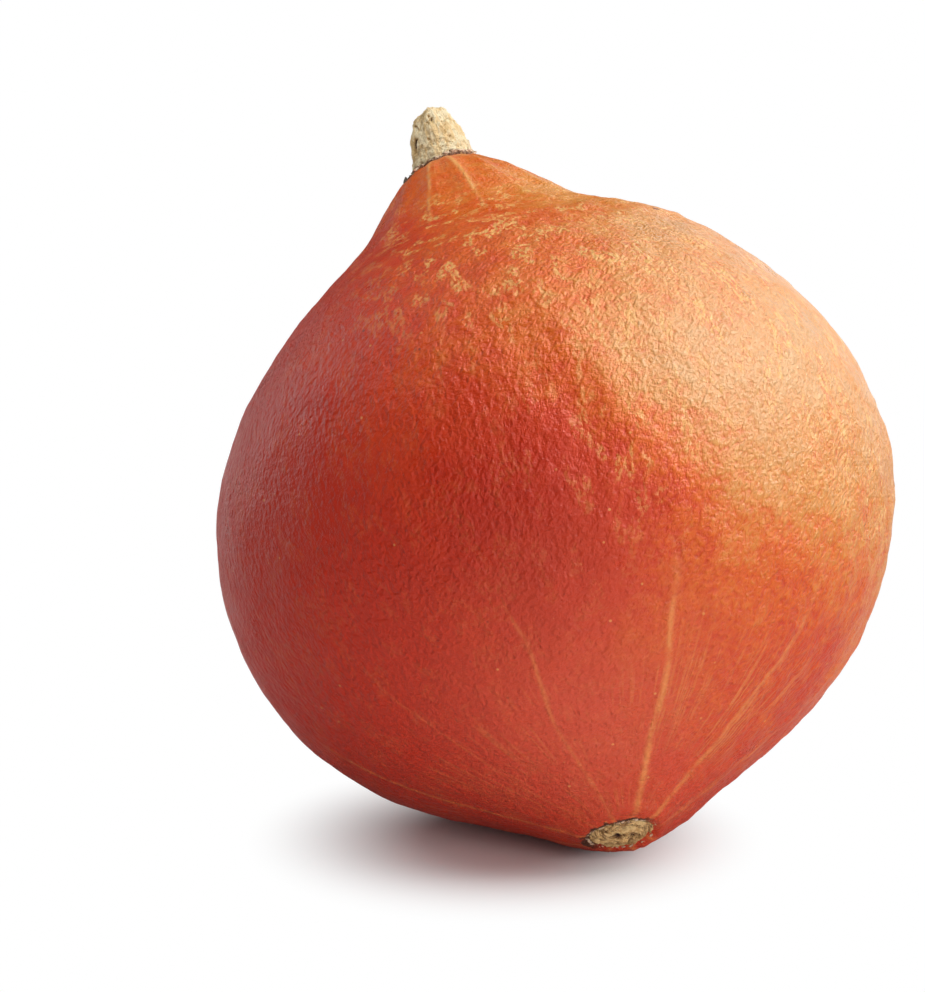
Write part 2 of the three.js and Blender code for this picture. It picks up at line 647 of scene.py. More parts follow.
@dataclass(frozen=True)
class FruitForm:
    """How far the rind is from the heart of the fruit, as the CAD model has it: millimetres and degrees."""

    body_terms: Sequence[Number] = (78.1, -5.3, -2.9, 1.2, 1.1)
    sunny_terms: Sequence[Number] = (3.4, -1.9, -1.1, -0.5)
    neck: Cap = Cap(25.9, 20.3)
    blossom_end: Cap = Cap(6.5, 15.1)
    scar_lip: Swelling = Swelling(168.0, 169.0, 4.1, 13.0)
    shaded_underside: Swelling = Swelling(139.0, -101.0, 2.0, 25.6)
    sunny_shoulder: Swelling = Swelling(41.0, 71.0, 4.9, 20.0)
    stem_hollow: Swelling = Swelling(15.0, -69.0, -4.6, 12.0)
    ground_spot: Swelling = Swelling(0.0, 0.0, -2.4, 26.0)  # its angles come from how the fruit lies
    scar: ScarDish = ScarDish()

    def undished(self, here: Toward) -> Number:
        """The rind's distance from the heart, with no dish in the blossom scar.

        Args:
            here: The direction.

        Returns:
            The distance in millimetres.
        """
        neck = here.polar / (self.neck.width * DEG)
        from_scar = (math.pi - here.polar) / (self.blossom_end.width * DEG)
        total = cosine_series(self.body_terms, here.polar)
        total = bell(neck) * self.neck.height + total
        total = bell(from_scar) * self.blossom_end.height + total
        sunny = cosine_series(self.sunny_terms, here.polar) * sine(here.polar) * sine(here.turn)
        total = total + sunny
        for swelling in (self.scar_lip, self.shaded_underside, self.sunny_shoulder,
                         self.stem_hollow, self.ground_spot):
            total = swelling.at(here) + total
        return total

    def radius(self, here: Toward) -> Number:
        """The rind's distance from the heart.

        Args:
            here: The direction.

        Returns:
            The distance in millimetres.
        """
        smooth = self.undished(here)
        from_scar = self.scar.away(here, smooth)
        edge = self.scar.edge
        outside = soft_step(from_scar, self.scar.radius - edge, self.scar.radius + edge / 2.0)
        return smooth - (1.0 - outside) * self.scar.depth


@dataclass(frozen=True)
class Lie:
    """How the fruit lies on the floor, in degrees and millimetres."""

    rise: float = 50.2  # of the stem axis above the floor
    heading: float = 21.4  # of the stem axis, to the left of straight back
    spin: float = -23.2  # of the fruit round that axis
    flat_depth: float = 0.9  # how much of the ground spot is pressed quite flat
    seat_depth: float = 2.2  # of the stem's seat below the top of the neck
    seat_lean: float = 9.0
    seat_lean_turn: float = -64.0

    def rotation(self) -> Euler:
        """The turn from the fruit's own frame to the model's, as XYZ angles."""
        posed = Euler((self.rise * DEG, self.spin * DEG, self.heading * DEG), "YXZ")
        return posed.to_matrix().to_euler("XYZ")

    def matrix(self) -> Matrix:
        """The same turn as a matrix."""
        return self.rotation().to_matrix()


class Squash:
    """The whole fruit's form and place, which its pieces and finishes share."""

    SURVEY_AROUND = 240
    SURVEY_ALONG = 200

    def __init__(self, node: str) -> None:
        """Works out where the heart of the fruit is from the box of its CAD node.

        Args:
            node: The CAD node's name.
        """
        self.lie = Lie()
        down = self.lie.matrix().transposed() @ Vector((0.0, 0.0, -1.0))
        form = FruitForm()
        polar, turn = math.acos(down.y) / DEG, math.atan2(down.x, down.z) / DEG
        self.form = replace(form, ground_spot=replace(form.ground_spot, polar=polar, turn=turn))
        lean = Toward.of(self.lie.seat_lean * DEG, self.lie.seat_lean_turn * DEG)
        self.seat_normal = Vector((lean.x, lean.y, lean.z))
        top = float(self.form.radius(Toward.of(0.0, 0.0)))
        self.seat_centre = Vector((0.0, top, 0.0)) - self.lie.seat_depth * self.seat_normal
        self.scar_reach = float(self.form.undished(Toward.of(math.pi, 0.0)))
        self.heart = self._heart(node)

    def _heart(self, node: str) -> Vector:
        """The heart's place in the model.

        Args:
            node: The CAD node that holds the fruit.

        Returns:
            The place in metres.
        """
        polar, turn = np.meshgrid(
            np.linspace(0.0, math.pi, self.SURVEY_ALONG),
            np.linspace(0.0, 2.0 * math.pi, self.SURVEY_AROUND),
        )
        here = Toward.of(polar, turn)
        rind = self.form.radius(here) * np.stack([here.x, here.y, here.z])
        posed = np.einsum("ij,jkl->ikl", np.array(self.lie.matrix()), rind)
        lowest = posed.min(axis=(1, 2))
        highest = posed.max(axis=(1, 2))
        box_low, box_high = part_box(node)
        middle = (box_low + box_high) / 2.0
        return Vector((
            middle.x - (lowest[0] + highest[0]) / 2.0 * MM,
            middle.y - (lowest[1] + highest[1]) / 2.0 * MM,
            box_low.z - (lowest[2] + self.lie.flat_depth) * MM,
        ))

    def place(self, local: Vector) -> Vector:
        """A place in the model, in metres, from one in the fruit's own frame, in millimetres."""
        return self.heart + self.lie.matrix() @ local * MM


class Local:
    """A place on the rind as a tree sees it: its direction, and the place itself in millimetres."""

    def __init__(self, tree: Tree, place: Spread) -> None:
        """Works out the angles of a place.

        Args:
            tree: The tree.
            place: The place in the fruit's own frame, at any length.
        """
        self.place = place
        unit = place.unit()
        x, y, z = unit.parts()
        across = tree.vector(x, 0.0, z).length()
        polar = tree.math("ARCTAN2", across, y)
        turn = tree.math("ARCTAN2", x, z)
        self.tree = tree
        self.across = across
        self.unit = unit
        self.toward = Toward(polar, turn, x, y, z)

    def streaked(self, across: float, along: float) -> Spread:
        """The place spread out more across than along, so that a pattern runs from stem to scar."""
        toward = self.toward
        return self.tree.vector(toward.x * across, toward.polar * along, toward.z * across)

    def rayed(self, along: float, spread: float = 1.0) -> Spread:
        """The place on a ring round the stem's axis, so that a pattern runs out from both ends."""
        toward = self.toward
        aside, ahead = toward.x / self.across, toward.z / self.across
        return self.tree.vector(aside * spread, toward.polar * along, ahead * spread)


@dataclass(frozen=True)
class VeinFan:
    """Faint lines, evenly spaced round one end of the fruit: degrees and millimetres."""

    strengths: tuple[float, ...]  # one for each line, in the order of their turns
    first_turn: float
    start: float
    end: float
    fade: float
    width: float
    sway: float

    def strength(self, tree: Tree, here: Local, swayed: Field) -> Field:
        """How strongly a line of the fan shows at a place.

        Args:
            tree: The tree.
            here: The place.
            swayed: Smooth noise that bends the lines.

        Returns:
            0 off the lines, and up to about 1 along them.
        """
        count = len(self.strengths)
        spacing = 360.0 / count
        toward = here.toward
        steps = (toward.turn / DEG - self.first_turn + swayed * self.sway) / spacing
        nearest = tree.math("ROUND", steps)
        aside = (steps - nearest) * here.across * (spacing * DEG * FruitForm.body_terms[0])
        order = tree.math("FLOORED_MODULO", nearest, float(count))
        bold = tree.looked_up(order, self.strengths)
        aside = aside / ((bold * 0.9 + 0.35) * self.width)
        trace = bell(aside)
        begun = soft_step(toward.polar / DEG, self.start - self.fade, self.start)
        ended = soft_step(toward.polar / DEG, self.end, self.end + self.fade)
        return trace * begun * (1.0 - ended) * bold


@dataclass(frozen=True)
class Veins:
    """The faint lines of the rind, where its vessels lie close under the skin."""

    scar_fan: VeinFan = VeinFan(
        strengths=(0.45, 1.0, 0.8, 0.6, 0.7, 0.7, 0.5, 0.7, 0.6, 0.2),
        first_turn=-12.0, start=140.0, end=176.0, fade=20.0, width=0.62, sway=2.6,
    )
    neck_fan: VeinFan = VeinFan(
        strengths=(0.7, 0.9, 0.5, 0.8, 0.2, 0.7, 0.5, 0.8, 0.3, 0.7,
                   0.9, 0.4, 0.6, 0.8, 0.3, 0.7, 0.5, 0.6, 0.2),
        first_turn=-8.0, start=8.0, end=26.0, fade=12.0, width=0.45, sway=3.0,
    )

    HAIRLINE = 0.014  # the width of the finest lines, in radians round the stem's axis
    BREAK_SIZE = 5.0
    PATCH_SIZE = 13.0

    def strength(self, tree: Tree, here: Local) -> Field:
        """How strongly a vein shows at a place: 0 off the veins, and up to about 1 along them."""
        swayed = tree.noise(here.unit, 0.4, detail=1.0, seed=4.0)
        broken = soft_step(tree.noise(here.place, self.BREAK_SIZE, seed=8.0), -0.5, 0.15) * 0.6 + 0.4
        fans = self.scar_fan.strength(tree, here, swayed) + self.neck_fan.strength(tree, here, swayed)
        return fans * broken

    def hairlines(self, tree: Tree, here: Local) -> Field:
        """How strongly the finest lines show, that run out from both ends: 0 to 1."""
        toward = here.toward
        lines = tree.noise(here.rayed(along=0.03), self.HAIRLINE, detail=1.0, seed=9.0)
        lines = soft_step(lines, 0.10, 0.42)
        patchy = soft_step(tree.noise(here.place, self.PATCH_SIZE, seed=10.0), -0.2, 0.3)
        degrees = toward.polar / DEG
        scar_end = soft_step(degrees, 128.0, 160.0) * (soft_step(toward.x, 0.05, 0.45) * 0.7 + 0.3)
        neck_end = (1.0 - soft_step(degrees, 12.0, 34.0)) * 0.3
        return lines * patchy * (scar_end + neck_end)


@dataclass(frozen=True)
class Relief:
    """How the rind departs from its smooth form, as far as geometry shows it: millimetres and degrees."""

    lump_size: Number = 27.0
    lump_height: Number = 0.45
    dent_size: Number = 9.0
    dent_height: Number = 0.42
    peel_size: Number = 4.2
    peel_height: Number = 0.25
    streak_height: Number = 0.09
    rib_height: Number = 0.32
    rib_polar: Number = 17.0
    rib_width: Number = 12.0
    groove_turn: Number = 5.5
    groove_depth: Number = 0.30
    groove_width: Number = 3.4
    crest_turn: Number = 14.5
    crest_height: Number = 0.60
    crest_width: Number = 3.4
    pucker_height: Number = 0.22
    lip_height: Number = 0.55
    lip_radius: Number = 9.9
    lip_width: Number = 1.7

    RIBS = 19
    FIRST_RIB = -8.0
    STREAK_SIZE = 3.6
    GROOVE_MIDDLE = 95.0
    GROOVE_LEAN = 0.35  # degrees of turn for each degree from stem to scar
    GROOVE_BEGINS = (66.0, 92.0)
    GROOVE_ENDS = (108.0, 132.0)
    SUNNY_FROM = -0.35
    SUNNY_TO = 0.55

    def lift(self, tree: Tree, here: Local, radius: Number) -> Field:
        """How far the rind stands out from its smooth form.

        Args:
            tree: The tree.
            here: The place.
            radius: The smooth rind's distance from the heart, in millimetres.

        Returns:
            The lift in millimetres.
        """
        toward = here.toward
        place = here.unit.scaled(radius)
        sunny = soft_step(toward.x + toward.z * 0.25, self.SUNNY_FROM, self.SUNNY_TO)
        lumps = tree.noise(place, self.lump_size, detail=1.0, seed=1.0) * self.lump_height
        dents = tree.noise(place, self.dent_size, detail=1.0, seed=2.0) * self.dent_height
        peel = tree.noise(place, self.peel_size, detail=1.0, seed=3.0) * self.peel_height
        total = lumps + dents * (sunny * 0.6 + 0.4) + peel * (sunny * 0.7 + 0.3)
        streaks = tree.noise(here.streaked(70.0, 14.0), self.STREAK_SIZE, seed=5.0) * self.streak_height
        folded = soft_step(toward.x, -0.2, 0.15) * (1.0 - soft_step(toward.x, 0.3, 0.6))
        total = total + streaks * (1.4 - sunny + folded * 1.2)
        return total + self._ribs(tree, here) + self._groove(toward) + self._scar_end(tree, here, radius)

    def _ribs(self, tree: Tree, here: Local) -> Field:
        """The shallow ribs where the skin is gathered below the stem."""
        toward = here.toward
        jitter = tree.noise(here.unit, 0.3, detail=1.0, seed=6.0) * 1.2
        wave = cosine((toward.turn - self.FIRST_RIB * DEG) * float(self.RIBS) + jitter)
        away = (toward.polar - self.rib_polar * DEG) / (self.rib_width * DEG)
        return wave * bell(away) * self.rib_height

    def _groove(self, toward: Toward) -> Field:
        """The soft groove down the front, and the crest along the sunny side of it."""
        leaning = toward.turn - (toward.polar - self.GROOVE_MIDDLE * DEG) * self.GROOVE_LEAN
        aside = (leaning - self.groove_turn * DEG) / (self.groove_width * DEG)
        beside = (leaning - self.crest_turn * DEG) / (self.crest_width * DEG)
        begun = soft_step(toward.polar, *(angle * DEG for angle in self.GROOVE_BEGINS))
        ended = soft_step(toward.polar, *(angle * DEG for angle in self.GROOVE_ENDS))
        groove = bell(aside) * self.groove_depth
        crest = bell(beside) * self.crest_height
        return (crest - groove) * begun * (1.0 - ended)

    def _scar_end(self, tree: Tree, here: Local, radius: Number) -> Field:
        """The lip round the blossom scar and the puckers that run out from it."""
        toward = here.toward
        from_scar = (math.pi - toward.polar) * radius
        aside = (from_scar - self.lip_radius) / self.lip_width
        lip = bell(aside) * self.lip_height
        puckers = tree.noise(here.rayed(along=2.0, spread=5.0), 0.6, seed=7.0) * self.pucker_height
        near = 1.0 - soft_step(from_scar, 12.0, 48.0)
        return lip + puckers * near * soft_step(from_scar, 6.0, 10.0)


# ---------------------------------------------------------------------------------------------------
# Finishes


class SurfaceTree(Tree):
    """The node tree of a material, with its coordinates in the fruit's own frame."""

    def __init__(self, name: str) -> None:
        """Starts a material with a Principled BSDF.

        Args:
            name: The material's name.
        """
        self.material = bpy.data.materials.new(name)
        self.material.use_nodes = True
        super().__init__(self.material.node_tree)
        self.surface = self.node("ShaderNodeBsdfPrincipled")
        self.output = self.node("ShaderNodeOutputMaterial")
        self.feed(self.surface.outputs[0], self.output.inputs["Surface"])

    def own_place(self, squash: Squash) -> Spread:
        """The place on the piece in the fruit's own frame, in millimetres."""
        coordinates = self.node("ShaderNodeTexCoord")
        mapping = self.node("ShaderNodeMapping", vector_type="TEXTURE")
        self.feed(coordinates.outputs["Object"], mapping.inputs["Vector"])
        self.feed(squash.heart, mapping.inputs["Location"])
        self.feed(squash.lie.rotation(), mapping.inputs["Rotation"])
        self.feed((MM, MM, MM), mapping.inputs["Scale"])
        return Spread(self, mapping.outputs[0])

    def attribute(self, name: str) -> Field:
        """A number kept on the mesh under a name."""
        return Field(self, self.node("ShaderNodeAttribute", attribute_name=name).outputs["Fac"])

    def mix(self, share: Number, first: Any, second: Any) -> Spread:
        """A mix of two colours.

        Args:
            share: How much of the second shows.
            first: The first colour.
            second: The second colour.

        Returns:
            The mixed colour.
        """
        made = self.node("ShaderNodeMix", data_type="RGBA", clamp_factor=True)
        self.feed(share, made.inputs[0])
        self.feed(first, made.inputs[6])
        self.feed(second, made.inputs[7])
        return Spread(self, made.outputs[2])

    def cells(self, place: VectorLike, size: Number) -> tuple[Field, Field]:
        """A pattern of irregular cells.

        Args:
            place: Where on the piece, in millimetres.
            size: The size of a cell, in the same unit.

        Returns:
            How far the cell's middle is, in cell sizes, and a random number for each cell.
        """
        made = self.node("ShaderNodeTexVoronoi", feature="F1")
        self.feed(place, made.inputs["Vector"])
        self.feed(1.0 / size, made.inputs["Scale"])
        red = self.node("ShaderNodeSeparateColor", made.outputs["Color"])
        return Field(self, made.outputs["Distance"]), Field(self, red.outputs[0])

    def bump(self, height: Field) -> Spread:
        """The normal of a surface that stands out by a height in millimetres."""
        made = self.node("ShaderNodeBump")
        self.feed(1.0, made.inputs["Strength"])
        self.feed(MM, made.inputs["Distance"])
        self.feed(height, made.inputs["Height"])
        return Spread(self, made.outputs[0])

    def set(self, **values: Any) -> None:
        """Sets the surface's own sockets, named with underscores for spaces."""
        for name, value in values.items():
            self.feed(value, self.surface.inputs[name.replace("_", " ")])


@dataclass(frozen=True)
class Bruise:
    """A small brown mark: where it is in degrees, and its size in millimetres."""

    polar: float
    turn: float
    size: float

    def at(self, here: Toward) -> Field:
        """How much of the mark a place has, before it is given its edge."""
        spot = Toward.of(self.polar * DEG, self.turn * DEG)
        sharpness = 2.0 * (FruitForm.body_terms[0] / self.size) ** 2
        return exponential((here.cosine_to(spot) - 1.0) * sharpness)


class Skin:
    """A finish, as its colours and its gloss. Each kind of finish has its own way to make the material."""

    def material(self, squash: Squash) -> bpy.types.Material:
        """Builds the material.

        Args:
            squash: The fruit, for its heart and its lie.

        Returns:
            The material.
        """
        raise NotImplementedError


@dataclass(frozen=True)
class RindSkin(Skin):
    """The waxy red-orange skin, paler and yellower on the flank that grew in the sun, with painted light
    and shade.
    """

    shaded: Colour = (0.56, 0.026, 0.007)
    ripe: Colour = (0.66, 0.048, 0.009)
    orange: Colour = (0.80, 0.140, 0.006)
    golden: Colour = (0.79, 0.28, 0.034)
    # partly the sun-paled skin, partly painted highlight: the pale peach of the sheen on the front
    creamy: Colour = (0.76, 0.37, 0.120)
    fleck: Colour = (0.95, 0.55, 0.17)
    vein: Colour = (0.88, 0.32, 0.09)
    pit: Colour = (0.30, 0.030, 0.022)
    # painted shade: a darker red for a patch on the front below the middle
    leaf_shade: Colour = (0.42, 0.018, 0.004)
    # painted reflection: a paler pink-orange near the blossom end, for the white floor's sheen there
    salmon: Colour = (0.72, 0.100, 0.052)
    # painted highlight: the pale peach of the lamps' sheen on the sunny flank
    bloom: Colour = (0.84, 0.52, 0.29)
    bruise: Colour = (0.17, 0.030, 0.020)
    # dark brown by the stem and round the scar: partly dried edges, partly painted shade in the gaps
    crevice: Colour = (0.10, 0.035, 0.018)
    roughness: float = 0.33
    wax: float = 0.275  # the strength of the gloss away from the sun
    # Patches where the skin had more or less sun than its side otherwise had, mixed with painted light and
    # shade.
    sun_patches: tuple[Swelling, ...] = (
        Swelling(92.0, -22.0, 0.32, 13.0),
        Swelling(121.0, 0.0, -0.19, 14.0),
        Swelling(116.0, 22.0, -0.26, 8.0),
        Swelling(158.0, 20.0, 0.32, 17.0),
        Swelling(135.0, 62.0, -0.16, 16.0),
        Swelling(112.0, 56.0, -0.10, 11.0),
        Swelling(22.0, 28.0, 0.34, 14.0),
        Swelling(82.0, 6.0, 0.12, 13.0),
        Swelling(79.0, -13.0, -0.12, 10.0),
        Swelling(120.0, 86.0, -0.15, 19.0),
        Swelling(108.0, -26.0, 0.14, 14.0),
    )
    # where the floor's sheen is painted
    salmon_patch: Swelling = Swelling(156.0, 2.0, 0.8, 26.0)
    # where the painted highlight lies
    bloom_patch: Swelling = Swelling(94.0, 38.0, 0.36, 19.0)
    # where the painted shade lies
    leaf_patch: Swelling = Swelling(122.0, -4.0, 0.5, 16.0)
    fold_flecks: Swelling = Swelling(106.0, 22.0, 0.7, 13.0)
    peel_height: float = 0.16
    cobble_height: float = 0.26
    streak_height: float = 0.10
    grain_height: float = 0.012
    vein_height: float = 0.12
    hairline_height: float = 0.14
    bruises: tuple[Bruise, ...] = (
        Bruise(50.0, 52.0, 1.1),
        Bruise(74.0, -22.0, 0.5),
        Bruise(84.0, -12.0, 0.4),
        Bruise(96.0, 146.0, 1.3),
        Bruise(62.0, -128.0, 0.9),
        Bruise(118.0, -152.0, 1.0),
    )

    SUNWARD = (0.93, 0.28, 0.27)  # how much the three parts of a direction count towards the sun
    PATCH_SIZE = 26.0  # millimetres, as are the sizes below
    MOTTLE_SIZE = 5.0
    DIMPLE_SIZE = 0.66
    COBBLE_SIZE = 1.35
    WRINKLE_SIZE = 1.3
    CLUSTER_SIZE = 4.6  # of the flecks that stand together
    FLECK_SIZE = 0.9
    GRAIN_SIZE = 0.5
    DULL_SIZE = 11.0  # of the patches that are a little duller than the rest
    EDGE_SIZE = 2.6  # of the rags in the brown edge beside the stem and the scar
    DOT_SPACING = 3.0
    SLANT = (0.35, 0.3, 0.75)  # radians, the turn of the dimples and the bumps against the stem's axis
    FLECK_TURN = (0.6, 0.4, 0.5)  # radians, so that the flecks fall on no straight rows
    SUNNY_SHINE = 0.11  # how much shinier than its wax the skin is in the sun

    def material(self, squash: Squash) -> bpy.types.Material:
        """Builds the skin: ground colours, markings, painted highlight and shade, and fine relief."""
        tree = SurfaceTree("rind_skin")
        here = Local(tree, tree.own_place(squash))
        toward = here.toward
        veins = Veins().strength(tree, here)
        hairlines = Veins().hairlines(tree, here)
        peel = self._peel(tree, here)
        sun = self._sun(tree, here)
        neck = soft_step(toward.y, 0.4, 0.8)
        peeled = soft_step(sun, -0.1, 0.9) * (1.0 - neck * 0.85)
        cobbles = self._cobbles(tree, here)
        dither = soft_step(toward.x, 0.0, 0.4) * 0.16 + 0.05 - neck * 0.08
        colour = self._ground(tree, sun + ((peel - 0.5) * 0.5 + cobbles) * dither, here)
        # painted shade on the front below the middle
        colour = tree.mix(self.leaf_patch.at(toward), colour, self.leaf_shade)
        # painted reflection of the floor's sheen near the blossom end
        colour = tree.mix(self.salmon_patch.at(toward), colour, self.salmon)
        # painted highlight: the sheen's pale peach mixed into the colour on the sunny flank
        painted_highlight_share = self.bloom_patch.at(toward) * soft_step(sun, 0.4, 0.95)
        colour = tree.mix(painted_highlight_share, colour, self.bloom)
        colour = self._flecked(tree, here, colour)
        line = tree.mix(neck * 0.8, self.vein, self.fleck)
        colour = tree.mix((veins * 0.75).at_most(0.75), colour, line)
        colour = tree.mix((hairlines * 0.7).at_most(0.7), colour, line)
        colour = self._marked(tree, here, colour)
        # dark brown by the stem and the scar, partly painted shade
        colour = tree.mix(self._edges(tree, here, squash), colour, self.crevice)
        grain = tree.noise(here.place, self.GRAIN_SIZE, seed=21.0)
        height = peel * (peeled * 0.8 + 0.25) * self.peel_height
        height = height + cobbles * (1.0 - neck * 0.6) * self.cobble_height
        height = height + self._streaks(tree, here) * (1.2 - peeled) * self.streak_height
        height = height + grain * self.grain_height
        height = height + veins * self.vein_height + hairlines * self.hairline_height
        dulled = tree.noise(here.place, self.DULL_SIZE, seed=22.0)
        tree.set(
            Base_Color=colour,
            Roughness=(dulled * 0.10 + peel * 0.03 + self.roughness).clamped(),
            Specular_IOR_Level=soft_step(sun, 0.3, 1.0) * self.SUNNY_SHINE + self.wax,
            Normal=tree.bump(height),
        )
        return tree.material

    def _edges(self, tree: Tree, here: Local, squash: Squash) -> Field:
        """The dark brown by the stem and the scar: partly dried edge, partly painted shade in the gaps."""
        ragged = tree.noise(here.place, self.EDGE_SIZE, detail=3.0, roughness=0.6, seed=23.0)
        by_scar = squash.form.scar.away(here.toward, squash.scar_reach) + ragged * 1.6
        by_stem = here.toward.polar / DEG + ragged * 0.8
        front_side = soft_step(here.toward.z - here.toward.x * 0.7, -0.07, 0.02)
        round_scar = (1.0 - soft_step(by_scar, 9.5, 10.3)) * front_side
        round_stem = 1.0 - soft_step(by_stem, 5.1, 5.7)
        return (round_scar + round_stem).at_most(1.0)

    def _sun(self, tree: Tree, here: Local) -> Field:
        """Sun as the place grew, with painted light and shade: 0 on the underside to about 1 on the
        shoulder.
        """
        toward = here.toward
        by_x, by_y, by_z = self.SUNWARD
        broad = toward.x * by_x + toward.y * by_y + toward.z * by_z
        belt = (toward.y + 0.25) / 0.35
        edge = (soft_step(toward.x, 0.06, 0.38) - 0.5) * bell(belt) * 0.5
        patches = tree.noise(here.place, self.PATCH_SIZE, seed=11.0) * 0.22
        mottle = tree.noise(here.place, self.MOTTLE_SIZE, seed=12.0) * 0.16
        total = broad + edge + patches + mottle + 0.08
        # the patches add painted light and painted shade as well as sun
        for patch in self.sun_patches:
            total = patch.at(toward) + total
        return total

    def _ground(self, tree: SurfaceTree, sun: Field, here: Local) -> Spread:
        """The colour under the markings: deep red to golden and, at the front, cream that is partly painted
        highlight.
        """
        colour: Any = self.shaded
        for low, high, next_colour in (
            (-0.35, 0.25, self.ripe),
            (0.15, 0.70, self.orange),
            (0.55, 1.0, self.golden),
        ):
            colour = tree.mix(soft_step(sun, low, high), colour, next_colour)
        # cream at the front: partly the skin's own paler colour, partly painted highlight
        cream = soft_step(sun, 0.85, 1.35) * soft_step(here.toward.z, 0.0, 0.4)
        return tree.mix(cream, colour, self.creamy)

    def _peel(self, tree: Tree, here: Local) -> Field:
        """The fine dimples of the skin, drawn out along one slant: 0 in a dimple, 1 on a ridge."""
        slanted = here.place.turned(self.SLANT) * (1.0, 0.65, 1.0)
        return soft_step(tree.noise(slanted, self.DIMPLE_SIZE, seed=13.0), -0.5, 0.25)

    def _cobbles(self, tree: Tree, here: Local) -> Field:
        """The leathery bumps of the skin, a few millimetres across."""
        slanted = here.place.turned(self.SLANT) * (1.0, 0.7, 1.0)
        return tree.noise(slanted, self.COBBLE_SIZE, detail=3.0, roughness=0.55, seed=24.0)

    def _streaks(self, tree: Tree, here: Local) -> Field:
        """Fine wrinkles that run from stem to scar."""
        return tree.noise(here.streaked(78.0, 9.0), self.WRINKLE_SIZE, detail=3.0, roughness=0.6, seed=14.0)

    def _flecked(self, tree: SurfaceTree, here: Local, colour: Spread) -> Spread:
        """Lays the pale yellow flecks over the ground colour.

        Args:
            tree: The material's tree.
            here: The place.
            colour: The ground colour.

        Returns:
            The colour with its flecks.
        """
        toward = here.toward
        front = soft_step(toward.y + toward.x * 0.35, -0.2, 0.5) * soft_step(toward.x, -0.5, 0.0)
        front = front * (1.0 - soft_step(toward.y, 0.88, 0.95) * 0.85)
        flank = soft_step(toward.x, 0.45, 0.95) * soft_step(toward.y, -0.75, -0.35) * 0.8
        where = (front + flank + self.fold_flecks.at(toward)).at_most(1.0) * 0.9 + 0.05
        drawn = here.streaked(80.0, 34.0).turned(self.FLECK_TURN)
        cluster = soft_step(tree.noise(drawn, self.CLUSTER_SIZE, distortion=0.3, seed=15.0), 0.02, 0.36)
        torn = tree.noise(drawn, self.FLECK_SIZE, detail=3.0, roughness=0.6, seed=16.0)
        torn = soft_step(torn, -0.1, 0.16)
        colour = tree.mix(cluster * where * 0.35, colour, self.orange)
        return tree.mix(torn * cluster * where * 0.8, colour, self.fleck)

    def _marked(self, tree: SurfaceTree, here: Local, colour: Spread) -> Spread:
        """Adds the tiny pale dots, the dark pits and the few small bruises.

        Args:
            tree: The material's tree.
            here: The place.
            colour: The colour so far.

        Returns:
            The marked colour.
        """
        dot, chance = tree.cells(here.place, self.DOT_SPACING)
        shaded = 1.0 - soft_step(here.toward.x, -0.3, 0.4)
        within = 1.0 - soft_step(dot, 0.06, 0.15)
        pale = within * soft_step(chance, 0.90, 0.93)
        dark = within * (1.0 - soft_step(chance, 0.22, 0.26)) * shaded
        colour = tree.mix(pale * 0.45, colour, self.fleck)
        colour = tree.mix(dark * 0.55, colour, self.pit)
        hurt: Number = 0.0
        for bruise in self.bruises:
            hurt = bruise.at(here.toward) + hurt
        return tree.mix(soft_step(hurt, 0.35, 0.75) * 0.85, colour, self.bruise)


@dataclass(frozen=True)
class Cork(Skin):
    """Dry, pale cork, darker in its hollows partly as painted shade, as on the stem stub and in the blossom
    scar.
    """

    name: str
    pale: Colour
    warm: Colour
    hollow: Colour
    deep: Colour
    grain: float  # how large its streaks are, in millimetres
    drawn: float  # how much they are drawn out along the stem: 1 is not at all

    GRIT_SIZE = 0.22

    def material(self, squash: Squash) -> bpy.types.Material:
        """Builds the cork, darker where the mesh says that a hollow is deep: partly its own tissue, partly
        painted shade.
        """
        tree = SurfaceTree(self.name)
        place = tree.own_place(squash)
        streaked = place * (1.0, self.drawn, 1.0)
        hollow = tree.attribute(HOLLOW)
        tint = tree.noise(streaked, self.grain, detail=3.0, roughness=0.6, seed=61.0)
        stain = tree.noise(place, self.grain * 3.0, seed=62.0)
        colour = tree.mix(soft_step(tint, -0.3, 0.45), self.pale, self.warm)
        colour = tree.mix(soft_step(stain, 0.15, 0.6) * 0.5, colour, self.hollow)
        # darker in the hollows: partly the cork's own darker tissue, partly painted shade
        colour = tree.mix(soft_step(hollow, 0.1, 0.62) * 0.85, colour, self.hollow)
        colour = tree.mix(soft_step(hollow, 0.55, 1.0), colour, self.deep)
        grit = tree.noise(streaked, self.GRIT_SIZE, detail=3.0, roughness=0.65, seed=63.0)
        tree.set(
            Base_Color=colour,
            Roughness=(tint * 0.08 + 0.82).clamped(),
            Specular_IOR_Level=0.25,
            Normal=tree.bump(grit * 0.07 + tint * 0.05),
        )
        return tree.material


# ---------------------------------------------------------------------------------------------------
# The pieces


class Piece:
    """A piece of the squash, as its sizes. Each kind of piece has its own way to build it."""

    def build(self, material: bpy.types.Material) -> bpy.types.Object:
        """Makes the piece.

        Args:
            material: Its finish.

        Returns:
            The finished piece, at the origin, with its faces outward and its finish on.
        """
        raise NotImplementedError


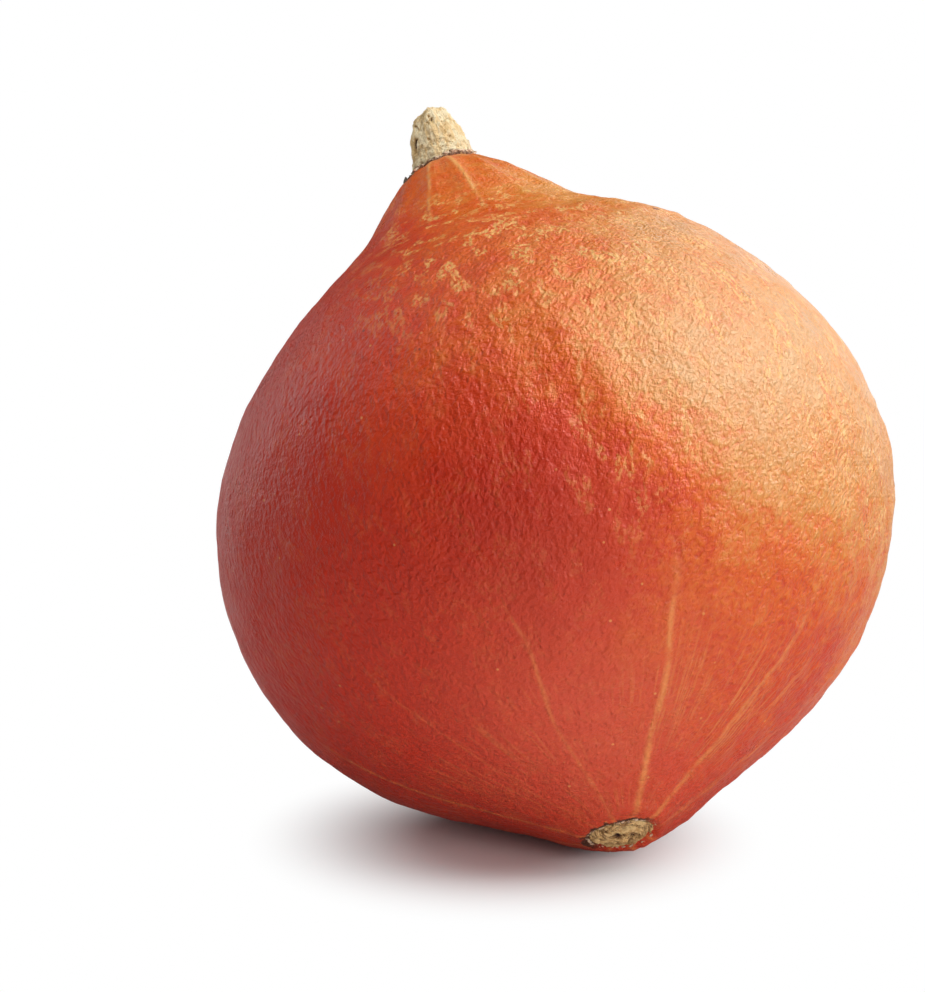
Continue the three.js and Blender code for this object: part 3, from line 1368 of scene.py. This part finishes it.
@dataclass
class Rind(Piece):
    """The fruit itself: one closed skin, from the stem's seat to the dish of the blossom scar."""

    squash: Squash
    cells: int = 128  # along each side of the six patches that it is made of
    crowding: float = 0.12  # 0 spaces the points evenly; more draws them to both ends
    gutter: float = 0.01  # round each patch's share of the map, as a share of the map
    relief: Relief = Relief()

    def build(self, material: bpy.types.Material) -> bpy.types.Object:
        """Makes the rind from a cube of points, blown out and lifted to the fruit's form."""
        tree = GeometryTree("rind_shape")
        points = tree.count("points a side", self.cells + 1)
        cube = tree.node("GeometryNodeMeshCube")
        tree.feed((2.0, 2.0, 2.0), cube.inputs["Size"])
        for side in ("Vertices X", "Vertices Y", "Vertices Z"):
            tree.feed(points, cube.inputs[side])
        mapped = self._mapped(tree, cube.outputs[0])
        posed = self._posed(tree)
        tree.finish(tree.moved(mapped, posed), material)
        return tree.build("fruit_rind")

    def _even(self, tree: GeometryTree) -> Spread:
        """Points of a cube blown out to an even ball, and drawn a little to both ends."""
        bowed = [tree.math("TANGENT", part * (math.pi / 4.0)) for part in tree.position().parts()]
        even = Local(tree, tree.vector(*bowed)).toward
        crowding = sine(even.polar * 2.0) * tree.number("crowding at the ends", self.crowding)
        return Toward.of(even.polar - crowding, even.turn).spread(tree)

    def _posed(self, tree: GeometryTree) -> Spread:
        """Each point's place on the rind, in the model.

        Args:
            tree: The rind's tree.

        Returns:
            The place in metres.
        """
        lie = self.squash.lie
        here = Local(tree, self._even(tree))
        form = exposed(tree, self.squash.form, "")
        relief = exposed(tree, self.relief, "relief")
        radius = form.radius(here.toward)
        place = here.unit.scaled(radius + relief.lift(tree, here, radius))
        normal = tree.triple("seat normal", self.squash.seat_normal)
        centre = tree.triple("seat centre", self.squash.seat_centre)
        proud = (place - centre).dot(normal).at_least(0.0)
        seated = place - normal.scaled(proud)
        turned = seated.turned(tree.triple("lie", lie.rotation()))
        x, y, z = (turned.scaled(MM) + tree.triple("heart", self.squash.heart)).parts()
        return tree.vector(x, y, z.at_least(tree.number("floor", 0.0)))

    def _mapped(self, tree: GeometryTree, geometry: bpy.types.NodeSocket) -> bpy.types.NodeSocket:
        """Gives each patch its own third of the map's width and half of its height.

        Args:
            tree: The rind's tree.
            geometry: The cube.

        Returns:
            The cube with its map.
        """
        x, y, z = tree.position().parts()
        nx, ny, nz = Spread(tree, tree.node("GeometryNodeInputNormal").outputs[0]).parts()
        width, height = 1.0 / 3.0, 1.0 / 2.0
        u: Number = 0.0
        v: Number = 0.0
        faces = ((nx, y, z, 0), (ny, z, x, 1), (nz, x, y, 2))
        for facing, first, second, column in faces:
            for sign, row in ((1.0, 0), (-1.0, 1)):
                here = tree.math("GREATER_THAN", facing * sign, 0.5)
                across = first * (0.5 - self.gutter) + 0.5
                up = second * (0.5 - self.gutter) + 0.5
                u = here * (across * width + column * width) + u
                v = here * (up * height + row * height) + v
        return tree.keep(geometry, MAP_NAME, tree.vector(u, v, 0.0), "FLOAT2", "CORNER")


@dataclass(frozen=True)
class Mount:
    """A frame that small pieces are built in, +Y out of the fruit: its turn, and its origin in metres."""

    turn: Euler
    origin: Vector

    @classmethod
    def of(cls, squash: Squash, outward: Vector, origin: Vector) -> "Mount":
        """The mount at a place of the fruit.

        Args:
            squash: The fruit.
            outward: The way out of the fruit there, in its own frame.
            origin: The place, in its own frame and in millimetres.

        Returns:
            The mount.
        """
        lean = Vector((0.0, 1.0, 0.0)).rotation_difference(outward).to_matrix()
        return cls((squash.lie.matrix() @ lean).to_euler("XYZ"), squash.place(origin))

    def placed(self, tree: GeometryTree, place: Spread) -> Spread:
        """The place in the model, in metres, of one in the mount's frame, in millimetres."""
        turned = place.turned(tree.triple("mount turn", self.turn))
        return turned.scaled(MM) + tree.triple("mount place", self.origin)


@dataclass(frozen=True)
class ScarMount:
    """A frame that follows the skin round the blossom scar: +Y out of the fruit and +Z to its back."""

    squash: Squash

    def placed(self, tree: GeometryTree, place: Spread) -> Spread:
        """The place in the model, in metres, of one in the mount's frame, in millimetres.

        Args:
            tree: The piece's tree.
            place: The place beside the fruit's axis, and how far it stands out of the skin.

        Returns:
            The place in the model.
        """
        aside, rise, behind = place.parts()
        form = exposed(tree, self.squash.form, "")
        off_axis = tree.vector(aside, 0.0, behind).length() / self.squash.scar_reach
        toward = Toward.of(math.pi - off_axis, tree.math("ARCTAN2", aside, -behind))
        bent = toward.spread(tree).scaled(form.undished(toward) + rise)
        posed = bent.turned(tree.triple("lie", self.squash.lie.rotation())).scaled(MM)
        return posed + tree.triple("heart", self.squash.heart)


@dataclass
class StemStub(Piece):
    """The dry, corky stub of the stem: a blunt cone with fibres, warts and a cleft, in millimetres."""

    mount: Mount
    height: float = 17.1
    foot_radius: float = 8.6
    foot_shift: float = 0.9
    side_drift: float = 0.14
    around: int = 300
    along: int = 190
    ridges: int = 5
    ridge_height: float = 0.8
    fibre_height: float = 0.42
    wart_height: float = 0.42
    crack_depth: float = 0.26
    pit_depth: float = 0.55
    lump_height: float = 0.55
    cleft_depth: float = 1.3
    cleft_turn: float = -52.0
    cleft_width: float = 7.0
    cleft_rise: float = 0.50  # as a share of the height, as is the next
    cleft_share: float = 0.13

    FIBRE_SIZE = 1.2
    SWIRL_SIZE = 2.6
    WART_SIZE = 2.0
    CURL_SIZE = 2.3
    PIT_SIZE = 1.5
    LUMP_SIZE = 5.5

    # How far out and how far up the outline is, along the way from the middle of the foot to the top.
    OUTWARD = ((0.0, 0.0), (0.14, 1.0), (0.26, 0.96), (0.40, 0.87), (0.55, 0.78), (0.69, 0.66),
               (0.82, 0.54), (0.92, 0.37), (1.0, 0.0))
    UPWARD = ((0.0, 0.0), (0.14, 0.0), (0.26, 0.16), (0.40, 0.34), (0.55, 0.54), (0.69, 0.74),
              (0.82, 0.90), (0.92, 0.985), (1.0, 1.0))

    def build(self, material: bpy.types.Material) -> bpy.types.Object:
        """Makes the stub from its outline, turned round the stem's axis."""
        tree = GeometryTree("stem_shape")
        sheet, turn, share = tree.lathe(self.around, self.along)
        radius = tree.profile(share, self.OUTWARD) * tree.number("foot radius", self.foot_radius)
        radius = radius.at_least(share.at_most(1.0 - share) * self.foot_radius)
        rise = tree.profile(share, self.UPWARD)
        lift, hollow = self._relief(tree, turn, rise, radius)
        height = tree.number("height", self.height)
        side = soft_step(share, 0.02, 0.14)
        outward = radius + lift * side * (1.0 - soft_step(rise, 0.93, 1.0))
        x = outward * sine(turn) + self.foot_shift + rise * height * self.side_drift
        y = rise * height + lift * soft_step(rise, 0.80, 1.0)
        place = self.mount.placed(tree, tree.vector(x, y, outward * cosine(turn)))
        return tree.wrapped(sheet, hollow, place, material, "stem_stub")

    def _relief(self, tree: GeometryTree, turn: Field, rise: Field,
                radius: Field) -> tuple[Field, Field]:
        """The stub's fibres, warts, cracks and cleft.

        Args:
            tree: The stub's tree.
            turn: The turn round the stub.
            rise: The share of its height.
            radius: Its smooth radius there, in millimetres.

        Returns:
            How far the surface stands out, in millimetres, and how deep in a hollow it is, up to 1.
        """
        up = rise * self.height
        skin = tree.ring(turn, radius, up)
        along = tree.ring(turn, radius, up * 0.14)
        fibres = tree.noise(along, self.FIBRE_SIZE, detail=3.0, roughness=0.55, seed=41.0)
        upper = soft_step(rise, 0.30, 0.62)
        swirl = tree.noise(skin, self.SWIRL_SIZE, detail=1.0, seed=42.0) * 1.6
        bent = skin + tree.vector(swirl, swirl * -0.6, swirl)
        warts = tree.noise(bent, self.WART_SIZE, detail=3.0, roughness=0.55, seed=43.0)
        curls = tree.noise(bent, self.CURL_SIZE, detail=1.0, seed=44.0)
        cracks = (1.0 - soft_step(curls.magnitude(), 0.0, 0.06)) * soft_step(warts, -0.3, 0.3)
        pits = soft_step(tree.noise(skin, self.PIT_SIZE, detail=1.0, seed=45.0), 0.42, 0.62)
        ridged = cosine(turn * float(self.ridges)) * rise * radius * (self.ridge_height / self.foot_radius)
        cleft = self._cleft(tree, turn, rise, skin)
        foot = 1.0 - soft_step(rise, 0.0, 0.2)
        lift = ridged + fibres * (upper * 0.7 + 0.3) * self.fibre_height
        lift = lift + warts * (1.1 - upper * 0.8 + foot * 0.8) * self.wart_height
        lift = lift - cracks * (1.0 - upper * 0.8) * self.crack_depth
        lift = lift - pits * self.pit_depth - cleft * self.cleft_depth
        lift = lift + tree.noise(skin, self.LUMP_SIZE, detail=1.0, seed=46.0) * self.lump_height
        hollow = cracks * (0.38 - upper * 0.34) + pits * 0.4 + cleft
        hollow = hollow + soft_step(-fibres, 0.0, 0.6) * (upper * 0.35 + 0.1)
        # painted shade at the very foot, where the stub meets the rind
        hollow = hollow + (1.0 - soft_step(rise, 0.0, 0.05)) * 0.7
        hollow = hollow + soft_step(-warts, 0.2, 0.7) * foot * 0.5
        return lift, hollow.clamped()

    def _cleft(self, tree: GeometryTree, turn: Field, rise: Field, skin: Spread) -> Field:
        """The split down one side of the stub: 1 in its middle."""
        wander = tree.noise(skin, 3.0, detail=1.0, seed=47.0) * self.cleft_width
        aside = (turn / DEG - self.cleft_turn + wander) / self.cleft_width
        aloft = (rise - self.cleft_rise) / self.cleft_share
        return exponential((aside * aside + aloft * aloft) * -1.0)


@dataclass
class StemCollar(Piece):
    """The torn brown edge of skin round the foot of the stem, darkened partly as painted shade, in
    millimetres.
    """

    mount: Mount
    radius: float = 8.95
    thickness: float = 0.48
    wander: float = 0.35
    shift: float = 0.5
    drop: float = -0.2
    around: int = 420
    along: int = 22

    FRAY_SIZE = 1.6
    ROUGH_SIZE = 0.8

    def build(self, material: bpy.types.Material) -> bpy.types.Object:
        """Makes the collar as a thin, frayed ring."""
        tree = GeometryTree("collar_shape")
        sheet, turn, share = tree.lathe(self.around, self.along)
        roll = share * (2.0 * math.pi)
        ring = tree.ring(turn, self.radius)
        frayed = tree.noise(ring, self.FRAY_SIZE, detail=3.0, roughness=0.65, seed=71.0)
        radius = tree.number("radius", self.radius) + tree.noise(ring, 5.0, seed=72.0) * self.wander
        thick = (frayed * 0.75 + 0.8).at_least(0.25) * tree.number("thickness", self.thickness)
        rolled = ring + tree.vector(0.0, sine(roll), cosine(roll))
        rough = tree.noise(rolled, self.ROUGH_SIZE, detail=3.0, seed=73.0)
        thick = thick * (rough * 0.6 + 1.0)
        away = radius + thick * cosine(roll) * 1.1
        place = tree.vector(
            away * sine(turn) + self.shift,
            thick * sine(roll) - tree.number("drop", self.drop),
            away * cosine(turn),
        )
        hollow = (0.5 - rough * 0.7 - frayed * 0.6).clamped()
        return tree.wrapped(sheet, hollow, self.mount.placed(tree, place), material, "stem_collar")


@dataclass
class Scabs(Piece):
    """Little chips of dried skin along an edge, in millimetres and degrees."""

    mount: Mount | ScarMount
    name: str
    count: int
    radius: float
    spread: float
    first_turn: float
    last_turn: float
    height: float
    size: float
    seed: int
    unevenness: float = 0.45  # how far a chip is above or below the height
    shift: float = 0.0  # how far the middle of the ring lies to the sunny side
    flattening: float = 1.0  # how much narrower the ring is from front to back
    behind: float = 0.0  # how far its middle lies to the back

    ROUNDNESS = 3  # how often the faces of each chip are divided
    TEAR_SIZE = 0.7

    def build(self, material: bpy.types.Material) -> bpy.types.Object:
        """Makes the chips as copies of a ball, set along the edge and then torn by noise."""
        tree = GeometryTree(self.name + "_shape")
        line = tree.node("GeometryNodeMeshLine")
        tree.feed(tree.count("chips", self.count), line.inputs["Count"])
        order = Field(tree, tree.node("GeometryNodeInputIndex").outputs[0])
        step = (self.last_turn - self.first_turn) * DEG / self.count
        turn = (order + tree.chance(0.1, 0.9, self.seed)) * step + self.first_turn * DEG
        away = tree.number("radius", self.radius) + tree.chance(-1.0, 1.0, self.seed + 1) * self.spread
        rise = tree.chance(-self.unevenness, self.unevenness, self.seed + 2)
        rise = rise + tree.number("height", self.height)
        place = tree.vector(
            away * sine(turn) + self.shift,
            rise,
            away * cosine(turn) * self.flattening + self.behind,
        )
        spots = tree.moved(line.outputs[0], place)
        chip = tree.node("GeometryNodeMeshIcoSphere")
        chip.inputs["Radius"].default_value = 1.0
        chip.inputs["Subdivisions"].default_value = self.ROUNDNESS
        size = tree.number("size", self.size) * tree.chance(0.45, 1.3, self.seed + 3)
        wide, deep = tree.chance(0.6, 1.3, self.seed + 4), tree.chance(0.4, 0.8, self.seed + 5)
        nod, roll = tree.chance(-0.5, 0.5, self.seed + 6), tree.chance(-0.5, 0.5, self.seed + 7)
        laid = {
            "Instance": chip.outputs[0],
            "Rotation": tree.vector(nod, turn, roll),
            "Scale": tree.vector(wide, 0.42, deep).scaled(size),
        }
        copies = tree.through("GeometryNodeInstanceOnPoints", spots, laid)
        real = tree.through("GeometryNodeRealizeInstances", copies, {})
        here = tree.position()
        torn = tree.noise(here, self.TEAR_SIZE, roughness=0.6, seed=float(self.seed))
        bent = here + tree.vector(torn, torn * 0.5, -torn).scaled(self.size * 0.75)
        marked = tree.keep(real, HOLLOW, soft_step(-torn, 0.0, 0.7))
        tree.finish(tree.moved(marked, self.mount.placed(tree, bent)), material)
        return tree.build(self.name)


@dataclass
class DriedSliver(Piece):
    """The small curled, dried leaf-foot that stands out beside the stem, in millimetres and degrees."""

    mount: Mount
    turn: float = -66.0
    radius: float = 9.9
    length: float = 4.2
    width: float = 1.8
    thickness: float = 0.6
    around: int = 48
    along: int = 60

    def build(self, material: bpy.types.Material) -> bpy.types.Object:
        """Makes the sliver as a flattened, tapering curl."""
        tree = GeometryTree("sliver_shape")
        sheet, turn, share = tree.lathe(self.around, self.along)
        plump = sine(share * math.pi)
        taper = (1.15 - share) * plump
        along = tree.vector(sine(turn), share * 6.0, cosine(turn))
        rough = tree.noise(along, 0.9, seed=81.0)
        length = tree.number("length", self.length)
        breadth = taper * (rough * 0.35 + 1.0)
        aside = breadth * sine(turn) * tree.number("width", self.width) * -1.0
        thick = breadth * cosine(turn) * tree.number("thickness", self.thickness)
        out = self.radius + share * length * 0.42 + thick
        down = (share - 0.35) * length * -1.0 + aside * aside * -0.1
        heading = self.turn * DEG
        place = tree.vector(
            out * math.sin(heading) + aside * math.cos(heading),
            down,
            out * math.cos(heading) - aside * math.sin(heading),
        )
        hollow = (0.55 - rough * 0.8).clamped()
        return tree.wrapped(sheet, hollow, self.mount.placed(tree, place), material, "dried_sliver")


@dataclass
class BlossomScar(Piece):
    """The corky disc in the dish that the blossom left, in millimetres."""

    mount: ScarMount
    radius: float = 8.5
    thickness: float = 1.3
    sunk: float = 0.75  # how far its face lies below the skin round it
    around: int = 240
    along: int = 110
    fibre_height: float = 0.75
    pit_depth: float = 1.0
    swirl: float = 0.32  # radians that the fibres turn in each millimetre from the pit
    pit_aside: float = -1.2
    pit_ahead: float = 1.0
    slot_aside: float = -3.6
    slot_ahead: float = -4.4

    FIBRE_SIZE = 1.35
    LUMP_SIZE = 3.0
    TEAR_SIZE = 1.1
    FACE_FROM = 0.22  # the share of the sheet at which its edge is reached from behind
    FACE_REST = 0.76  # the share from there on in which it runs in again to the middle of the face

    def build(self, material: bpy.types.Material) -> bpy.types.Object:
        """Makes the disc: its back, its edge and its swirled face."""
        tree = GeometryTree("scar_shape")
        sheet, turn, share = tree.lathe(self.around, self.along)
        share = 1.0 - share
        face = soft_step(share, 0.20, 0.26)
        out = (share / self.FACE_FROM).at_most((1.0 - share) / self.FACE_REST).at_most(1.0)
        edge = tree.vector(sine(turn) * 2.0, cosine(turn) * 2.0, 0.0)
        ragged = tree.noise(edge, 0.5, detail=3.0, seed=51.0)
        radius = out * (tree.number("radius", self.radius) + ragged * 0.55)
        flat = tree.ring(turn, radius)
        lift, hollow = self._relief(tree, flat, out)
        dish = self.mount.squash.form.scar
        place = tree.vector(
            radius * sine(turn),
            lift * face - self.sunk - (1.0 - face) * self.thickness,
            radius * cosine(turn) * -dish.flattening - dish.ahead,
        )
        return tree.wrapped(sheet, hollow, self.mount.placed(tree, place), material, "blossom_scar")

    def _relief(self, tree: GeometryTree, flat: Spread, out: Field) -> tuple[Field, Field]:
        """The disc's swirled fibres and its pits.

        Args:
            tree: The disc's tree.
            flat: The place on the disc.
            out: The share of the way out from its middle.

        Returns:
            How far the face stands out, in millimetres, and how deep in a hollow it is, up to 1.
        """
        x, _, z = flat.parts()
        off_x, off_z = x - self.pit_aside, z - self.pit_ahead
        away = tree.vector(off_x, 0.0, off_z).length()
        angle = away * self.swirl + 0.5
        swirled = tree.vector(
            off_x * cosine(angle) - off_z * sine(angle),
            0.0,
            (off_x * sine(angle) + off_z * cosine(angle)) * 0.35,
        )
        fibres = tree.noise(
            swirled, self.FIBRE_SIZE, detail=3.0, roughness=0.6, distortion=0.5, seed=52.0,
        )
        lumps = tree.noise(flat, self.LUMP_SIZE, seed=53.0)
        strands = 1.0 - soft_step(fibres.magnitude(), 0.02, 0.2)
        pit = exponential(away * away * -0.9)
        slot_x, slot_z = (x - self.slot_aside) / 1.9, (z - self.slot_ahead) / 0.7
        slot = exponential((slot_x * slot_x + slot_z * slot_z) * -1.0)
        torn = tree.noise(flat, self.TEAR_SIZE, seed=54.0)
        rim = soft_step(out + torn * 0.12, 0.84, 0.98)
        lift = fibres * self.fibre_height + lumps * 0.45 - strands * 0.2
        lift = lift - (pit + slot) * self.pit_depth - rim * 0.5 + (1.0 - out) * 0.6
        # darker in the pit, the slot and round the rim: partly the cork's own brown, partly painted shade
        hollow = strands * 0.75 + pit * 1.1 + slot * 1.1 + rim * 0.8
        hollow = hollow + soft_step(-fibres, 0.05, 0.55) * 0.6
        hollow = hollow + soft_step(-lumps, 0.15, 0.6) * 0.3 - 0.05
        return lift, hollow.clamped()


# ---------------------------------------------------------------------------------------------------
# The studio


@dataclass(frozen=True)
class SoftLamp:
    """A square soft lamp that faces the fruit: metres and watts."""

    name: str
    toward: tuple[float, float, float]
    distance: float
    side: float
    power: float
    only_gleams: bool = False  # it shows as a gleam on the skin and lights nothing else

    def hang(self, target: Vector) -> None:
        """Hangs the lamp.

        Args:
            target: The place that it faces.
        """
        data = bpy.data.lights.new(self.name, "AREA")
        data.shape = "SQUARE"
        data.size = self.side
        data.energy = self.power
        lamp = bpy.data.objects.new(self.name, data)
        toward = Vector(self.toward).normalized()
        lamp.location = target + toward * self.distance
        lamp.rotation_euler = toward.to_track_quat("Z", "Y").to_euler()
        lamp.visible_diffuse = not self.only_gleams
        bpy.context.scene.collection.objects.link(lamp)


@dataclass
class Studio:
    """A pale floor, soft light from the upper right and all round, and the camera: metres and degrees."""

    squash: Squash
    camera_height: float = 12.0  # of the view above level
    camera_distance: float = 0.90
    camera_aside: float = -0.01675  # so that the fruit stands a little right of the middle
    camera_above: float = 0.00183
    lens: float = 134.2
    lamps: tuple[SoftLamp, ...] = (
        SoftLamp("key", (0.78, 0.10, 0.58), 1.2, 0.9, 2.8),
        SoftLamp("overhead", (0.19, 0.03, 0.95), 1.2, 1.3, 13.5),
        SoftLamp("back", (0.49, 0.85, 0.24), 1.2, 0.9, 3.4),
        SoftLamp("front", (0.48, -0.85, 0.20), 1.2, 0.9, 7.2),
        SoftLamp("rim", (-0.78, 0.59, 0.20), 1.2, 0.9, 4.4),
        SoftLamp("low_gleam", (0.87, 0.06, 0.44), 1.2, 0.9, 15.0, only_gleams=True),
        SoftLamp("high_gleam", (0.62, 0.04, 0.78), 1.2, 0.8, 13.0, only_gleams=True),
    )
    fill_strength: float = 0.045
    floor_side: float = 9.0
    floor_white: Colour = (0.96, 0.96, 0.96)
    floor_in_sheen: Colour = (0.54, 0.54, 0.54)  # how the skin's broad sheen shows the floor
    shadow_middle: tuple[float, float] = (-0.0125, -0.0205)
    shadow_reach: tuple[float, float] = (0.0165, 0.0174)  # where the floor's shadow is all there
    shadow_fade: float = 0.0475  # how far beyond that it has run out

    def set_up(self) -> None:
        """Makes the floor, the lights and the camera."""
        self._floor()
        for lamp in self.lamps:
            lamp.hang(self.squash.heart)
        self._surroundings()
        self._camera()
        bpy.context.scene.view_settings.view_transform = "Standard"

    def _camera(self) -> None:
        """Stands the camera in front of the fruit and a little above it."""
        tilt = self.camera_height * DEG
        right = Vector((1.0, 0.0, 0.0))
        up = Vector((0.0, math.sin(tilt), math.cos(tilt)))
        back = Vector((0.0, -math.cos(tilt), math.sin(tilt)))
        data = bpy.data.cameras.new("camera")
        data.lens = self.lens
        camera = bpy.data.objects.new("camera", data)
        camera.location = (
            self.squash.heart
            + right * self.camera_aside
            + up * self.camera_above
            + back * self.camera_distance
        )
        camera.rotation_euler = (math.pi / 2.0 - tilt, 0.0, 0.0)
        bpy.context.scene.collection.objects.link(camera)
        bpy.context.scene.camera = camera

    def _surroundings(self) -> None:
        """Makes the world white to look at and softer as a light."""
        world = bpy.data.worlds.new("surroundings")
        world.use_nodes = True
        bpy.context.scene.world = world
        tree = Tree(world.node_tree)
        seen = tree.looked_at()
        background = tree.node("ShaderNodeBackground")
        tree.feed((1.0, 1.0, 1.0), background.inputs["Color"])
        tree.feed(seen * (1.0 - self.fill_strength) + self.fill_strength, background.inputs["Strength"])
        output = tree.node("ShaderNodeOutputWorld")
        tree.feed(background.outputs[0], output.inputs["Surface"])

    def _floor(self) -> None:
        """Lays the floor, whose white runs into the surroundings away from the fruit."""
        half = self.floor_side / 2.0
        corners = [(-half, -half, 0.0), (half, -half, 0.0), (half, half, 0.0), (-half, half, 0.0)]
        mesh = bpy.data.meshes.new("floor")
        mesh.from_pydata(corners, [], [(0, 1, 2, 3)])
        floor = bpy.data.objects.new("floor", mesh)
        bpy.context.scene.collection.objects.link(floor)
        mesh.materials.append(self._floor_finish())

    def _floor_finish(self) -> bpy.types.Material:
        """Pale paint that holds the fruit's shadow and, seen from the camera, is plain white beyond it.

        Returns:
            The material.
        """
        tree = SurfaceTree("floor_white")
        sheen = tree.ray("Glossy") * (1.0 - tree.ray("Singular"))
        paint = tree.mix(sheen, self.floor_white, self.floor_in_sheen)
        tree.set(Base_Color=paint, Roughness=0.9, Specular_IOR_Level=0.2)
        place = Spread(tree, tree.node("ShaderNodeTexCoord").outputs["Object"])
        x, y, _ = place.parts()
        (middle_x, middle_y), (reach_x, reach_y) = self.shadow_middle, self.shadow_reach
        aside = tree.vector((x - middle_x) / reach_x, (y - middle_y) / reach_y, 0.0).length()
        beyond = soft_step((aside - 1.0) * min(reach_x, reach_y), 0.0, self.shadow_fade)
        white = tree.node("ShaderNodeEmission")
        mixed = tree.node("ShaderNodeMixShader")
        tree.feed(beyond * tree.looked_at(), mixed.inputs["Fac"])
        tree.feed(tree.surface.outputs[0], mixed.inputs[1])
        tree.feed(white.outputs[0], mixed.inputs[2])
        tree.feed(mixed.outputs[0], tree.output.inputs["Surface"])
        return tree.material


# ---------------------------------------------------------------------------------------------------
# The whole squash


class Finish(Enum):
    """The cork finishes."""

    STEM = Cork(
        "stem_cork",
        pale=(0.98, 0.83, 0.54),
        warm=(0.92, 0.67, 0.34),
        hollow=(0.64, 0.41, 0.16),
        deep=(0.13, 0.065, 0.035),
        grain=1.1,
        drawn=0.12,
    )
    SCAR = Cork(
        "scar_cork",
        pale=(0.94, 0.67, 0.31),
        warm=(0.74, 0.46, 0.18),
        hollow=(0.27, 0.13, 0.05),
        deep=(0.05, 0.022, 0.022),
        grain=0.9,
        drawn=1.0,
    )
    # darker than the other corks, partly as painted shade in the gap round the stem's foot
    CREVICE = Cork(
        "crevice_cork",
        pale=(0.60, 0.38, 0.23),
        warm=(0.40, 0.21, 0.12),
        hollow=(0.18, 0.080, 0.044),
        deep=(0.06, 0.025, 0.016),
        grain=0.8,
        drawn=1.0,
    )
    SCAB = Cork(
        "scab_cork",
        pale=(0.97, 0.79, 0.58),
        warm=(0.92, 0.66, 0.43),
        hollow=(0.66, 0.41, 0.24),
        deep=(0.26, 0.12, 0.07),
        grain=0.6,
        drawn=1.0,
    )
    DRIED = Cork(
        "dried_cork",
        pale=(0.38, 0.31, 0.24),
        warm=(0.27, 0.20, 0.14),
        hollow=(0.13, 0.09, 0.06),
        deep=(0.05, 0.035, 0.03),
        grain=0.8,
        drawn=1.0,
    )


def settle(piece: bpy.types.Object, stands_for: str | None = None) -> None:
    """Fixes a finished piece to the body.

    Args:
        piece: The piece.
        stands_for: The solid that it takes the place of, if it does.
    """
    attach(piece, "root")
    if stands_for is not None:
        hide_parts(stands_for)
    log.info("%s: %d faces", piece.name, len(piece.data.polygons))


def main() -> None:
    """Builds the squash and the studio round it."""
    logging.basicConfig(level=logging.INFO)
    squash = Squash("fruit")
    seat = Mount.of(squash, squash.seat_normal, squash.seat_centre + squash.seat_normal * JOINT_GAP)
    scar = ScarMount(squash)
    settle(Rind(squash).build(RindSkin().material(squash)), "fruit")
    settle(StemStub(seat).build(Finish.STEM.value.material(squash)), "stem")
    settle(StemCollar(seat).build(Finish.CREVICE.value.material(squash)))
    settle(BlossomScar(scar).build(Finish.SCAR.value.material(squash)))
    scab = Finish.SCAB.value.material(squash)
    scabs = (
        Scabs(
            seat, "foot_scabs", count=64, radius=8.8, spread=0.25, first_turn=-95.0, last_turn=110.0,
            height=0.9, size=0.8, seed=301, shift=0.9,
        ),
        Scabs(
            seat, "side_scabs", count=22, radius=9.25, spread=0.5, first_turn=-104.0, last_turn=-44.0,
            height=0.25, size=1.25, seed=371, shift=0.4,
        ),
        Scabs(
            scar, "scar_scabs", count=44, radius=8.6, spread=0.45, first_turn=0.0, last_turn=360.0,
            height=-0.22, size=0.5, seed=331, unevenness=0.12,
            flattening=squash.form.scar.flattening, behind=-squash.form.scar.ahead,
        ),
    )
    for chips in scabs:
        settle(chips.build(scab))
    settle(DriedSliver(seat).build(Finish.DRIED.value.material(squash)))
    Studio(squash).set_up()


if __name__ == "__main__":
    main()
